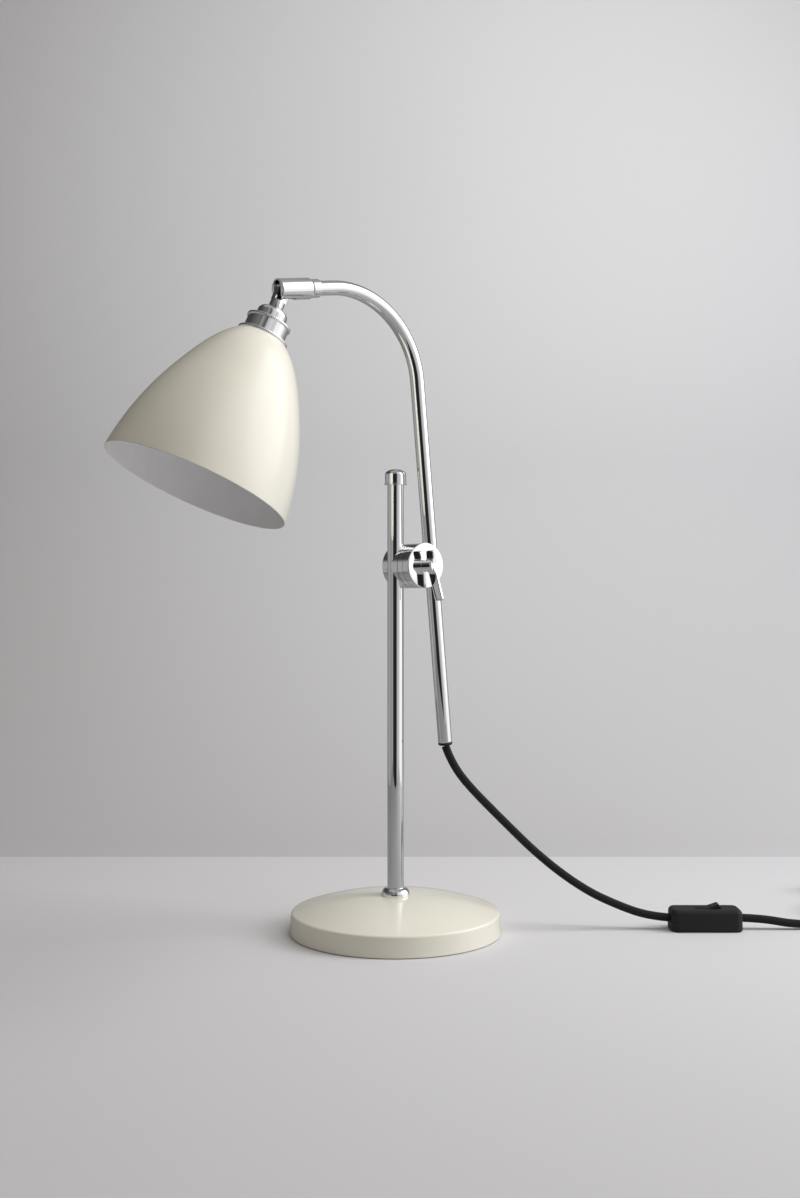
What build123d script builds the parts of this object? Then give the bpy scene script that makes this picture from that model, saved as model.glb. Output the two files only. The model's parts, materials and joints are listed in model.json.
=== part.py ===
from build123d import *
import math
import os

# Task lamp: a weighted round base, a straight post, a swivel clamp with a wing nut,
# a bent arm that slides through the clamp, a knuckle, a bell shade and a flex with a switch.
# Millimetres. The origin is the middle of the foot on the table, Z is up, the head reaches
# along -X and the wing nut faces -Y.

# Fits
running_clearance = 0.06
seat_clearance = 0.1
moving_gap = 0.3
tolerance = 0.01

# Base
base_radius = 90.0
base_rim_height = 1.2
base_draft = 1.4
base_lip_height = 17.6
base_lip_round = 2.2
base_crown_height = 31.0
base_crown_radius = 14.0
base_dome_bulge = 3.2
base_wall = 2.0
felt_thickness = 1.6
felt_margin = 4.0
plate_thickness = 1.5
plate_margin = 0.6
weight_thickness = 11.0
weight_margin = 3.0
weight_boss_radius = 12.5
nut_pocket_radius = 11.0
nut_pocket_depth = 6.6
plate_screw_inset = 30.0
plate_screw_count = 3
plate_screw_radius = 2.0
plate_screw_length = 7.0

# Post
post_radius = 7.0
post_wall = 1.2
post_above_clamp = 78.0
post_seat_depth = 9.0
stud_radius = 5.0
stud_plug_length = 22.0
stud_nut_flats = 16.0
stud_nut_height = 4.6
stud_washer_radius = 10.0
stud_washer_thickness = 1.2
collar_foot_radius = 12.0
collar_top_radius = 8.3
collar_foot_height = 1.6
collar_height = 6.5
cap_radius = 9.1
cap_lip_radius = 9.5
cap_lip_height = 1.4
cap_height = 14.0
cap_crown_round = 14.0
cap_shoulder_round = 3.5
cap_socket_depth = 9.4

# Clamp
clamp_height = 311.0
clamp_radius = 19.1
clamp_offset = 12.4
post_jaw_thickness = 10.5
jaw_gap = 0.4
washer_thickness = 0.6
washer_inset = 1.2
inner_jaw_thickness = 6.6
outer_jaw_thickness = 7.7
jaw_edge_round = 0.8
bolt_radius = 3.0
bolt_head_flats = 11.0
bolt_head_height = 4.0

# Wing nut
nut_boss_radius = 5.25
nut_boss_length = 12.0
nut_dome = 1.2
wing_thickness = 2.7
wing_width = 9.4
wing_stand_off = 2.6
short_wing_reach = 13.0
long_wing_reach = 30.0
wing_flare = 7.5
wing_corner_round = 2.2
nut_turn = 11.0

# Arm
arm_radius = 6.0
arm_wall = 1.0
arm_lean = 5.74
arm_dip = 9.5
arm_tail = 153.0
arm_rise = 155.0
arm_bend_radius = 75.4
arm_end_run = 14.8
arm_spigot = 9.0
ferrule_radius = 7.5
ferrule_length = 7.9
grommet_flange = 2.4
grommet_spigot = 8.0

# Knuckle
knuckle_radius = 8.6
knuckle_reach = 24.5
knuckle_nose = 6.0
knuckle_chamfer = 1.6
knuckle_nose_round = 0.6
slot_width = 9.0
slot_depth = 16.0
slot_arch_height = 3.0
pin_radius = 2.2
tongue_thickness = 5.6
tongue_radius = 5.6
tongue_washer_radius = 3.8

# Head, measured down its own axis from the pivot
head_tilt = 24.0
head_turn = -6.0
stem_radius = 5.8
stem_shoulder = 11.2
holder_top = 18.7
holder_cup_radius = 12.2
holder_cup_round = 4.5
holder_cup_height = 10.3
holder_lip_radius = 18.0
holder_lip_height = 2.3
holder_skirt_radius = 16.9
holder_skirt_height = 10.4
holder_wall = 1.2
shade_ring_radius = 20.5
shade_ring_height = 2.3
shade_length = 128.9
shade_neck_radius = 19.8
shade_waist_radius = 51.7
shade_waist_drop = 47.5
shade_upper_bulge = 2.1
shade_mouth_radius = 74.0
shade_lower_bulge = 3.7
shade_wall = 1.0
shade_hole_radius = 15.6
carrier_radius = 18.0
carrier_height = 3.0
insert_radius = 15.2
insert_length = 46.0
insert_rim = 1.4
socket_radius = 13.3
socket_wall = 0.6
socket_depth = 25.0
contact_radius = 4.0
contact_height = 2.0
contact_gap = 0.5

# Flex
flex_diameter = 7.0
flex_heading = -38.0
flex_exit_gap = 0.3
flex_mouth_gap = 1.0
tube_share = 0.45

# In-line switch, placed along the flex's heading
switch_along = 265.0
switch_across = 6.9
switch_length = 61.0
switch_width = 26.0
switch_parting = 7.4
switch_height = 18.6
switch_corner_round = 5.0
switch_edge_round = 2.4
switch_flex_height = 9.8
rocker_length = 19.0
rocker_width = 9.0
rocker_depth = 7.0
rocker_rise = 2.0
rocker_swing = 12.0
rocker_offset = 2.5
rocker_pin_radius = 1.2
rocker_pin_length = 1.6

# Coil, tie and plug
coil_along = 431.0
coil_turns = 5
coil_layers = 2
coil_middle_radius = 41.0
coil_pitch = 7.6
coil_layer_step = 7.5
coil_climb = 0.5
coil_end_run = 21.0
tie_width = 7.0
tie_thickness = 0.5
tie_angle = -60.0
tie_clearance = 0.1
tie_side_clearance = 0.4
boot_length = 24.0
boot_thin_radius = 4.6
boot_thick_radius = 7.4
plug_width = 28.0
plug_length = 34.0
plug_edge_round = 4.0
plug_pin_radius = 2.4
plug_pin_length = 19.0
plug_pin_spacing = 19.0

# Worked-out places
flex_radius = flex_diameter / 2
base_lip_radius = base_radius - base_draft
plate_screw_circle = base_radius - plate_screw_inset
post_top = clamp_height + post_above_clamp
plate_bottom = felt_thickness
plate_top = plate_bottom + plate_thickness
weight_top = plate_top + weight_thickness
crown_underside = base_crown_height - base_wall
post_seat = crown_underside - post_seat_depth
bolt_x = clamp_offset
post_jaw_front_face = -post_jaw_thickness
washer_front_face = post_jaw_front_face - washer_thickness
arm_plane = washer_front_face - inner_jaw_thickness - jaw_gap / 2
clamp_face = arm_plane - jaw_gap / 2 - outer_jaw_thickness
lean = math.radians(arm_lean)
dip = math.radians(arm_dip)
arm_up = Vector(-math.sin(lean), 0, math.cos(lean))
arm_side = Vector(math.cos(lean), 0, math.sin(lean))
arm_end_direction = Vector(-math.cos(dip), 0, -math.sin(dip))
clamp_centre = Vector(bolt_x, arm_plane, clamp_height)
arm_grip = clamp_centre + arm_side * clamp_offset
arm_foot = arm_grip - arm_up * arm_tail
bend_turn = math.radians(90.0 - arm_lean + arm_dip)
bend_reach = arm_bend_radius * math.tan(bend_turn / 2)
arm_corner = arm_grip + arm_up * (arm_rise + bend_reach)
ferrule_start = arm_corner + arm_end_direction * (bend_reach + arm_end_run)
arm_end = ferrule_start + arm_end_direction * (ferrule_length + arm_spigot)
pivot = ferrule_start + arm_end_direction * (ferrule_length + knuckle_reach)
holder_lip = holder_top + holder_cup_height
holder_skirt = holder_lip + holder_lip_height
ring_top = holder_skirt + holder_skirt_height
shade_top = ring_top + shade_ring_height
insert_top = holder_skirt + holder_wall
insert_bottom = insert_top + insert_length
socket_top = insert_bottom - socket_depth
flex_exit = arm_foot - arm_up * (grommet_flange + flex_mouth_gap)
coil_height = tie_thickness + tie_clearance + flex_radius


def turned(*edges):
    """A solid turned about Z from the edges of a closed half-section of (radius, height)."""
    return revolve(Plane.XZ * make_face(Curve() + list(edges)), Axis.Z)


def section(*points):
    """The straight edges of a closed half-section."""
    ring = list(points) + [points[0]]
    return [Line(a, b) for a, b in zip(ring[:-1], ring[1:])]


def ring(inner, outer, bottom, top):
    """A plain washer about Z."""
    return turned(*section((inner, bottom), (outer, bottom), (outer, top), (inner, top)))


def circles(solid, radius, height):
    """The round edges of a turned solid at one radius and height."""
    found = solid.edges().filter_by(GeomType.CIRCLE)
    near = found.filter_by(lambda e: abs(e.radius - radius) < tolerance)
    return near.filter_by(lambda e: abs(e.arc_center.Z - height) < tolerance)


def rod(start, end, radius):
    """A round bar between two points."""
    run = end - start
    return extrude(Plane(start, z_dir=run) * Circle(radius), run.length)


def bulged(start, end, bulge):
    """An arc between two section points whose middle stands off the chord."""
    across = Vector(end[0] - start[0], end[1] - start[1]).normalized()
    middle = ((start[0] + end[0]) / 2, (start[1] + end[1]) / 2)
    return ThreePointArc(start, (middle[0] - across.Y * bulge, middle[1] + across.X * bulge), end)


def base_cover():
    """The painted pressing: a drafted skirt, a rounded lip and a shallow dome."""
    hole = post_radius + running_clearance
    crown = (base_crown_radius, base_crown_height)
    lip = (base_lip_radius, base_lip_height)
    foot = (base_radius, base_rim_height)
    inner_foot = (base_radius - base_wall, base_rim_height)
    inner_lip = (base_lip_radius - base_wall, base_lip_height - base_wall)
    inner_crown = (base_crown_radius, crown_underside)
    shell = turned(
        Line((hole, base_crown_height), crown),
        bulged(crown, lip, base_dome_bulge),
        Line(lip, foot),
        Line(foot, inner_foot),
        Line(inner_foot, inner_lip),
        bulged(inner_lip, inner_crown, -base_dome_bulge),
        Line(inner_crown, (hole, crown_underside)),
        Line((hole, crown_underside), (hole, base_crown_height)),
    )
    return fillet(circles(shell, base_lip_radius, base_lip_height), base_lip_round)


def base_weight():
    """The iron disc inside the base, with a boss that the post stands in."""
    disc_radius = base_lip_radius - base_wall - weight_margin
    pocket_top = plate_top + nut_pocket_depth
    stud_hole = stud_radius + moving_gap
    post_hole = post_radius + running_clearance
    weight = turned(
        *section(
            (nut_pocket_radius, plate_top),
            (disc_radius, plate_top),
            (disc_radius, weight_top),
            (weight_boss_radius, weight_top),
            (weight_boss_radius, crown_underside),
            (post_hole, crown_underside),
            (post_hole, post_seat),
            (stud_hole, post_seat),
            (stud_hole, pocket_top),
            (nut_pocket_radius, pocket_top),
        )
    )
    for place in plate_screw_places():
        top = plate_bottom + plate_screw_length
        weight -= Pos(place.X, place.Y, 0) * rod(
            Vector(0, 0, plate_top), Vector(0, 0, top), plate_screw_radius + seat_clearance
        )
    return weight


def plate_screw_places():
    """The screw circle under the base."""
    step = 2 * math.pi / plate_screw_count
    turns = [step * i for i in range(plate_screw_count)]
    return [Vector(plate_screw_circle * math.cos(t), plate_screw_circle * math.sin(t)) for t in turns]


def base_plate():
    """The steel sheet that closes the base from below."""
    radius = base_radius - base_wall - plate_margin
    plate = Pos(0, 0, plate_bottom) * extrude(Circle(radius), plate_thickness)
    for place in plate_screw_places():
        hole = extrude(Circle(plate_screw_radius + seat_clearance), plate_thickness)
        plate -= Pos(place.X, place.Y, plate_bottom) * hole
    return plate


def base_plate_screw(place):
    """A countersunk screw, drawn as a plain shank flush with the plate."""
    shank = extrude(Circle(plate_screw_radius), plate_screw_length - seat_clearance)
    return Pos(place.X, place.Y, plate_bottom) * shank


def base_felt():
    """The felt disc that the lamp stands on."""
    return extrude(Circle(base_radius - felt_margin), felt_thickness)


def post_collar():
    """The bright rounded collar where the post meets the base."""
    bore = post_radius + running_clearance
    foot = base_crown_height
    shoulder = (collar_foot_radius, foot + collar_foot_height)
    top = (collar_top_radius, foot + collar_height)
    return turned(
        Line((bore, foot), (collar_foot_radius, foot)),
        Line((collar_foot_radius, foot), shoulder),
        bulged(shoulder, top, -(collar_height - collar_foot_height) / 6),
        Line(top, (bore, foot + collar_height)),
        Line((bore, foot + collar_height), (bore, foot)),
    )


def post_tube():
    """The straight round post."""
    return ring(post_radius - post_wall, post_radius, post_seat, post_top)


def post_stud():
    """The plug pressed into the foot of the post and the stud below it."""
    plug = post_radius - post_wall - seat_clearance
    foot = plate_top + nut_pocket_depth - stud_washer_thickness - stud_nut_height
    shank = rod(Vector(0, 0, foot), Vector(0, 0, post_seat), stud_radius)
    return shank + rod(Vector(0, 0, post_seat), Vector(0, 0, post_seat + stud_plug_length), plug)


def post_washer():
    """The washer under the weight."""
    top = plate_top + nut_pocket_depth
    return ring(stud_radius + seat_clearance, stud_washer_radius, top - stud_washer_thickness, top)


def post_lock_nut():
    """The nut that draws the post down onto the weight."""
    top = plate_top + nut_pocket_depth - stud_washer_thickness
    blank = RegularPolygon(stud_nut_flats / 2, 6, major_radius=False) - Circle(stud_radius + seat_clearance)
    return Pos(0, 0, top - stud_nut_height) * extrude(blank, stud_nut_height)


def post_cap():
    """The domed cap on top of the post, with a small lip at its lower rim."""
    bore = post_radius + seat_clearance
    foot = post_top - cap_socket_depth
    lip = foot + cap_lip_height
    crown = foot + cap_height
    roof = foot + cap_socket_depth
    inset = cap_radius - cap_shoulder_round
    rise = math.sqrt((cap_crown_round - cap_shoulder_round) ** 2 - inset**2)
    side = crown - cap_crown_round + rise
    slope = math.atan2(rise, inset)
    half = slope / 2
    meet = (cap_crown_round * math.cos(slope), crown - cap_crown_round + cap_crown_round * math.sin(slope))
    haunch = (inset + cap_shoulder_round * math.cos(half), side + cap_shoulder_round * math.sin(half))
    near_top = (slope + math.pi / 2) / 2
    brow = (
        cap_crown_round * math.cos(near_top),
        crown - cap_crown_round + cap_crown_round * math.sin(near_top),
    )
    return turned(
        Line((bore, foot), (cap_lip_radius, foot)),
        Line((cap_lip_radius, foot), (cap_lip_radius, lip)),
        Line((cap_lip_radius, lip), (cap_radius, lip)),
        Line((cap_radius, lip), (cap_radius, side)),
        ThreePointArc((cap_radius, side), haunch, meet),
        ThreePointArc(meet, brow, (0, crown)),
        Line((0, crown), (0, roof)),
        Line((0, roof), (bore, roof)),
        Line((bore, roof), (bore, foot)),
    )


def clamp_disc(front, back, radius):
    """A disc of the clamp between two planes across the bolt."""
    return rod(Vector(bolt_x, front, clamp_height), Vector(bolt_x, back, clamp_height), radius)


def front_edge(disc, face):
    """The outer round edge of a clamp disc on one of its faces."""
    found = disc.edges().filter_by(GeomType.CIRCLE)
    outer = found.filter_by(lambda e: abs(e.radius - clamp_radius) < tolerance)
    return outer.filter_by(lambda e: abs(e.arc_center.Y - face) < tolerance)


def bolt_hole():
    """The hole through every disc of the clamp."""
    return clamp_disc(clamp_face, post_jaw_thickness, bolt_radius + running_clearance)


def post_bore():
    """The groove that the post passes through, open at the clamp's side."""
    low = Vector(0, 0, clamp_height - 2 * clamp_radius)
    high = Vector(0, 0, clamp_height + 2 * clamp_radius)
    return rod(low, high, post_radius + running_clearance)


def arm_bore():
    """The groove that the arm passes through between the two front jaws."""
    reach = arm_up * (2 * clamp_radius)
    return rod(arm_grip - reach, arm_grip + reach, arm_radius + running_clearance)


def post_jaw_rear():
    """The rear half of the block that grips the post."""
    disc = clamp_disc(jaw_gap / 2, post_jaw_thickness, clamp_radius)
    disc = fillet(front_edge(disc, post_jaw_thickness), jaw_edge_round)
    return disc - post_bore() - bolt_hole()


def post_jaw_front():
    """The front half of the block that grips the post."""
    disc = clamp_disc(post_jaw_front_face, -jaw_gap / 2, clamp_radius)
    return disc - post_bore() - bolt_hole()


def friction_washer():
    """The dark fibre washer that the arm's jaws turn against."""
    disc = clamp_disc(washer_front_face, post_jaw_front_face, clamp_radius - washer_inset)
    return disc - bolt_hole()


def inner_jaw():
    """The jaw behind the arm."""
    disc = clamp_disc(arm_plane + jaw_gap / 2, washer_front_face, clamp_radius)
    return disc - arm_bore() - bolt_hole()


def outer_jaw():
    """The jaw in front of the arm, with the polished face."""
    disc = clamp_disc(clamp_face, arm_plane - jaw_gap / 2, clamp_radius)
    disc = fillet(front_edge(disc, clamp_face), jaw_edge_round)
    return disc - arm_bore() - bolt_hole()


def clamp_bolt():
    """The bolt through the clamp, with a hexagon head behind it."""
    tip = clamp_face - nut_boss_length + nut_dome
    shank = clamp_disc(tip, post_jaw_thickness, bolt_radius)
    behind = Plane((bolt_x, post_jaw_thickness, clamp_height), z_dir=(0, 1, 0))
    head = behind * RegularPolygon(bolt_head_flats / 2, 6, major_radius=False)
    return shank + extrude(head, bolt_head_height)


def wing(reach):
    """One wing of the nut, standing up from the bolt's axis and flared away from the clamp."""
    back = clamp_face - wing_stand_off
    flare = reach * math.tan(math.radians(wing_flare))
    corners = [
        (back, 0),
        (back - flare, reach),
        (back - flare - wing_width, reach),
        (back - wing_width, 0),
    ]
    face = make_face(Polyline(*corners, close=True))
    tips = face.vertices().filter_by(lambda v: v.Y > reach / 2)
    plate = extrude(Plane.YZ * fillet(tips, wing_corner_round), wing_thickness / 2, both=True)
    return Pos(bolt_x, 0, clamp_height) * plate


def wing_nut():
    """The nut that locks the clamp: a boss with a short wing above and a long lever below."""
    axis = Axis((bolt_x, 0, clamp_height), (0, 1, 0))
    boss_end = clamp_face - nut_boss_length
    boss = clamp_disc(boss_end, clamp_face, nut_boss_radius)
    tip = boss.edges().filter_by(GeomType.CIRCLE).sort_by(Axis.Y)
    boss = fillet(tip[:1], nut_dome)
    nut = boss + wing(short_wing_reach) + wing(long_wing_reach).rotate(axis, 180)
    bore = clamp_disc(boss_end + nut_dome - moving_gap, clamp_face, bolt_radius + running_clearance)
    return (nut - bore).rotate(axis, -nut_turn)


def arm_path(start, end):
    """The arm's centre line: a leaning straight run, one bend and a short end run."""
    return FilletPolyline(start, arm_corner, end, radius=arm_bend_radius)


def arm_sweep(path, radius):
    """A round section carried along the arm's centre line."""
    return sweep(Plane(path @ 0, z_dir=path % 0) * Circle(radius), path)


def arm_tube():
    """The bent bright tube."""
    path = arm_path(arm_foot, arm_end)
    return arm_sweep(path, arm_radius) - arm_sweep(path, arm_radius - arm_wall)


def arm_lead():
    """The flex inside the arm, from its mouth to the knuckle."""
    start = arm_foot - arm_up * grommet_flange
    return arm_sweep(arm_path(start, arm_end), flex_radius)


def arm_ferrule():
    """The stepped sleeve between the arm and the knuckle."""
    end = ferrule_start + arm_end_direction * (ferrule_length - seat_clearance)
    sleeve = rod(ferrule_start, end, ferrule_radius)
    return sleeve - rod(ferrule_start, end, arm_radius + seat_clearance)


def cord_grommet():
    """The black bush in the arm's mouth."""
    lip = rod(arm_foot - arm_up * grommet_flange, arm_foot - arm_up * seat_clearance, arm_radius)
    lip = fillet(lip.edges().sort_by(Axis.Z)[:1], grommet_flange / 3)
    spigot_radius = arm_radius - arm_wall - running_clearance
    spigot = rod(arm_foot - arm_up * seat_clearance, arm_foot + arm_up * grommet_spigot, spigot_radius)
    reach = arm_up * (2 * grommet_spigot)
    return lip + spigot - rod(arm_foot - reach, arm_foot + reach, flex_radius + moving_gap)


def place_knuckle(shape):
    """Sets a piece modelled about the pivot, with the arm along +X, at the arm's end."""
    laid = shape.rotate(Axis.Y, -arm_dip).moved(Location(pivot))
    return laid.rotate(Axis(pivot, arm_end_direction), head_turn)


def knuckle_body():
    """The round knuckle: a bore for the arm's end and an arched slot, open below, for the tongue."""
    nose = Vector(-knuckle_nose, 0, 0)
    shoulder = Vector(knuckle_reach, 0, 0)
    barrel = rod(nose, shoulder, knuckle_radius)
    ends = barrel.edges().filter_by(GeomType.CIRCLE).sort_by(Axis.X)
    barrel = chamfer(ends[-1:], knuckle_chamfer)
    rim = barrel.edges().filter_by(GeomType.CIRCLE).sort_by(Axis.X)
    barrel = fillet(rim[:1], knuckle_nose_round)
    spigot_end = knuckle_reach - arm_spigot - moving_gap
    barrel -= rod(Vector(spigot_end, 0, 0), shoulder, arm_radius + running_clearance)
    slot = Box(slot_depth, slot_width, 3 * knuckle_radius, align=(Align.MIN, Align.CENTER, Align.MAX))
    barrel -= Pos(-knuckle_nose, 0, slot_arch_height) * slot
    arch = Vector(-knuckle_nose, 0, slot_arch_height)
    barrel -= rod(arch, arch + Vector(slot_depth, 0, 0), slot_width / 2)
    barrel -= cross_pin(pin_radius + seat_clearance)
    return place_knuckle(barrel)


def cross_pin(radius):
    """A round bar across the knuckle, flush with its sides."""
    half = math.sqrt(knuckle_radius**2 - pin_radius**2)
    return rod(Vector(0, -half, 0), Vector(0, half, 0), radius)


def pivot_pin():
    """The flush pin that the head tilts on."""
    return place_knuckle(cross_pin(pin_radius))


def tongue_washer(side):
    """A friction washer between the tongue and one cheek of the knuckle."""
    start = side * (tongue_thickness / 2 + seat_clearance)
    end = side * (slot_width / 2 - seat_clearance)
    hole = pin_radius + seat_clearance
    washer = rod(Vector(0, start, 0), Vector(0, end, 0), tongue_washer_radius)
    return place_knuckle(washer - rod(Vector(0, start, 0), Vector(0, end, 0), hole))


def place_head(shape):
    """Sets a piece modelled down -Z from the pivot at the head's resting tilt and turn."""
    tilted = shape.rotate(Axis.Y, head_tilt).moved(Location(pivot))
    return tilted.rotate(Axis(pivot, arm_end_direction), head_turn)


def head_stem():
    """The stem: a flat rounded tongue on the pin and a round neck into the holder."""
    outline = Circle(tongue_radius) + Pos(0, -stem_shoulder / 2) * Rectangle(2 * tongue_radius, stem_shoulder)
    tongue = extrude(Plane.XZ * outline, tongue_thickness / 2, both=True)
    neck = rod(Vector(0, 0, -stem_shoulder), Vector(0, 0, -holder_top), stem_radius)
    neck += rod(Vector(0, 0, -holder_top), Vector(0, 0, -holder_lip), stem_radius - holder_wall)
    stem = tongue + neck
    half = slot_width / 2
    return place_head(stem - rod(Vector(0, -half, 0), Vector(0, half, 0), pin_radius + running_clearance))


def holder_cup():
    """The rounded upper cup of the lampholder."""
    cup = rod(Vector(0, 0, -holder_lip), Vector(0, 0, -holder_top), holder_cup_radius)
    cup = fillet(circles(cup, holder_cup_radius, -holder_top), holder_cup_round)
    hole = stem_radius - holder_wall + seat_clearance
    return place_head(cup - rod(Vector(0, 0, -holder_lip), Vector(0, 0, -holder_top), hole))


def holder_skirt_cover():
    """The stepped lower cover of the lampholder: a lip over a straight skirt."""
    bore = insert_radius + seat_clearance
    shell = turned(
        *section(
            (0, -holder_lip),
            (holder_lip_radius, -holder_lip),
            (holder_lip_radius, -holder_skirt),
            (holder_skirt_radius, -holder_skirt),
            (holder_skirt_radius, -ring_top),
            (bore, -ring_top),
            (bore, -insert_top),
            (0, -insert_top),
        )
    )
    lip = circles(shell, holder_lip_radius, -holder_lip)
    return place_head(fillet(lip, holder_lip_height / 3))


def shade_ring():
    """The thin bright ring on top of the shade."""
    return place_head(ring(insert_radius + seat_clearance, shade_ring_radius, -shade_top, -ring_top))


def shade_section(inset, top):
    """The bell's curve from its neck to its mouth, drawn in by an inset."""
    neck = (shade_neck_radius - inset, -top)
    waist = (shade_waist_radius - inset, -shade_top - shade_waist_drop)
    mouth = (shade_mouth_radius - inset, -shade_top - shade_length)
    return neck, waist, mouth


def shade():
    """The bell shade: a flat neck under the ring and two soft curves to a thin rim."""
    neck, waist, mouth = shade_section(0, shade_top)
    under_neck, inner_waist, inner_mouth = shade_section(shade_wall, shade_top + shade_wall)
    hole_top = (shade_hole_radius, -shade_top)
    hole_bottom = (shade_hole_radius, -shade_top - shade_wall)
    return place_head(
        turned(
            Line(hole_top, neck),
            bulged(neck, waist, shade_upper_bulge),
            bulged(waist, mouth, shade_lower_bulge),
            Line(mouth, inner_mouth),
            bulged(inner_mouth, inner_waist, -shade_lower_bulge),
            bulged(inner_waist, under_neck, -shade_upper_bulge),
            Line(under_neck, hole_bottom),
            Line(hole_bottom, hole_top),
        )
    )


def shade_carrier():
    """The ring that holds the shade up from inside."""
    top = shade_top + shade_wall
    return place_head(ring(insert_radius + seat_clearance, carrier_radius, -top - carrier_height, -top))


def lamp_insert():
    """The insulating body of the lampholder, open below."""
    bore = insert_radius - insert_rim
    return place_head(
        turned(
            *section(
                (0, -insert_top),
                (insert_radius, -insert_top),
                (insert_radius, -insert_bottom),
                (bore, -insert_bottom),
                (bore, -socket_top),
                (0, -socket_top),
            )
        )
    )


def socket_shell():
    """The metal thread shell, drawn as a plain sleeve, inside the insert and clear of the contact."""
    outer = socket_radius + socket_wall - seat_clearance
    shell_top = socket_top + contact_height + contact_gap
    return place_head(ring(socket_radius, outer, -insert_bottom, -shell_top))


def centre_contact():
    """The spring contact at the bottom of the socket, drawn as a button."""
    foot = Vector(0, 0, -socket_top)
    return place_head(rod(foot, foot - Vector(0, 0, contact_height), contact_radius))


def flex_point(along, across, height):
    """A point measured along the flex's heading from the post, to its left and above the table."""
    heading = math.radians(flex_heading)
    ahead = Vector(math.cos(heading), math.sin(heading), 0)
    left = Vector(-math.sin(heading), math.cos(heading), 0)
    return ahead * along + left * across + Vector(0, 0, height)


def flex_tube(name, points):
    """A flex of straight runs joined by arcs as large as the runs allow."""
    radii = []
    for before, here, after in zip(points[:-2], points[1:-1], points[2:]):
        turn = math.radians((here - before).get_angle(after - here))
        shorter = min((here - before).length, (after - here).length)
        radii.append(tube_share * shorter / math.tan(turn / 2))
    path = FilletPolyline(*points, radius=radii)
    tube = sweep(Plane(path @ 0, z_dir=path % 0) * Circle(flex_radius), path)
    share = tube.volume / (math.pi * flex_radius**2 * path.length)
    print(name, "radii", [round(r) for r in radii], "length", round(path.length, 1), "volume share", round(share, 4))
    return tube


def cord_hanging():
    """The flex from the arm's mouth down to the switch."""
    first = flex_exit
    switch_end = switch_along - switch_length / 2 - flex_exit_gap
    return flex_tube(
        "cord_hanging",
        [
            first,
            flex_point(46.6, 10.3, 145.8),
            flex_point(58.9, 10.1, 126.4),
            flex_point(89.5, 9.7, 95.2),
            flex_point(126.1, 9.0, 59.6),
            flex_point(162.0, 8.2, 33.6),
            flex_point(191.0, 7.6, 20.2),
            flex_point(216.0, 7.1, 11.6),
            flex_point(switch_end, switch_across, switch_flex_height + flex_exit_gap),
        ],
    )


def cord_lead_out():
    """The flex from the switch, down onto the table and up to the coil."""
    switch_end = switch_along + switch_length / 2 + flex_exit_gap
    coil_end = coil_along - flex_diameter
    return flex_tube(
        "cord_lead_out",
        [
            flex_point(switch_end, switch_across, switch_flex_height),
            flex_point(314.0, switch_across + 0.1, 9.2),
            flex_point(342.0, switch_across - 0.6, 4.3),
            flex_point(376.0, switch_across + 1.6, coil_height),
            flex_point(coil_end - 21.0, coil_across_start(), coil_height),
            flex_point(coil_end, coil_across_start(), coil_height),
        ],
    )


def coil_across_start():
    """How far left of the heading the coil's first turn begins."""
    return switch_across + 2.2


def coil_total_turn():
    """The coil's whole turn: it starts along the flex's heading and ends along +Y."""
    return coil_turns + (90.0 - flex_heading) / 360.0


def coil_spread():
    """How far the radius runs from the outermost turn to the innermost."""
    return coil_pitch * coil_total_turn() / coil_layers


def coil_centre():
    """The coil's middle, left of the flex's heading."""
    outer = coil_middle_radius + coil_spread() / 2
    return flex_point(coil_along, coil_across_start() + outer, 0)


def coil_line(turn):
    """A point of the coil's centre line: in and out at a steady rate, climbing as it reverses."""
    middle = coil_total_turn() / coil_layers
    inward = middle - abs(turn - middle)
    climb = min(max(turn - middle + coil_climb / 2, 0.0), coil_climb)
    radius = coil_middle_radius + coil_spread() / 2 - coil_pitch * inward
    rise = coil_layer_step * (1 - math.cos(math.pi * climb / coil_climb)) / 2
    angle = math.radians(flex_heading - 90.0 + 360.0 * turn)
    return coil_centre() + Vector(radius * math.cos(angle), radius * math.sin(angle), coil_height + rise)


def coil_heading(turn):
    """The direction of the coil's centre line."""
    small = 1e-4
    ahead = coil_line(min(turn + small, coil_total_turn())) - coil_line(max(turn - small, 0.0))
    return ahead.normalized()


def biarc(start, start_heading, end, end_heading):
    """Two arcs that join two points and keep both headings."""
    chord = end - start
    both = start_heading + end_heading
    bend = 2 * (1 - start_heading.dot(end_heading))
    along = chord.dot(both)
    reach = (math.sqrt(along**2 + bend * chord.dot(chord)) - along) / bend
    first = start + start_heading * reach
    last = end - end_heading * reach
    joint = (first + last) / 2
    return [TangentArc(start, joint, tangent=start_heading), TangentArc(joint, end, tangent=last - first)]


def cord_coil():
    """The put-away length: one unbroken tube in two layers of turns."""
    ahead = flex_point(1, 0, 0)
    steps = 4 * coil_turns + 2
    turns = [coil_total_turn() * i / steps for i in range(steps + 1)]
    headings = [coil_heading(t) for t in turns]
    headings[0] = ahead
    headings[-1] = Vector(0, 1, 0)
    places = [coil_line(t) for t in turns]
    edges = [Line(places[0] - ahead * flex_diameter, places[0])]
    for i in range(steps):
        edges += biarc(places[i], headings[i], places[i + 1], headings[i + 1])
    edges.append(Line(places[-1], places[-1] + headings[-1] * coil_end_run))
    path = Wire(edges)
    tube = sweep(Plane(path @ 0, z_dir=path % 0) * Circle(flex_radius), path)
    share = tube.volume / (math.pi * flex_radius**2 * path.length)
    gap = coil_gap([path @ (i / 900) for i in range(901)], path.length / 900)
    print("cord_coil length", round(path.length, 1), "least gap", round(gap, 2), "volume share", round(share, 4))
    return tube


def coil_gap(points, step):
    """The least gap between parts of the coil that aren't next to each other."""
    apart = int(3 * flex_diameter / step)
    least = math.inf
    for i, here in enumerate(points):
        for there in points[i + apart :]:
            least = min(least, (here - there).length)
    return least - flex_diameter


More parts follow.
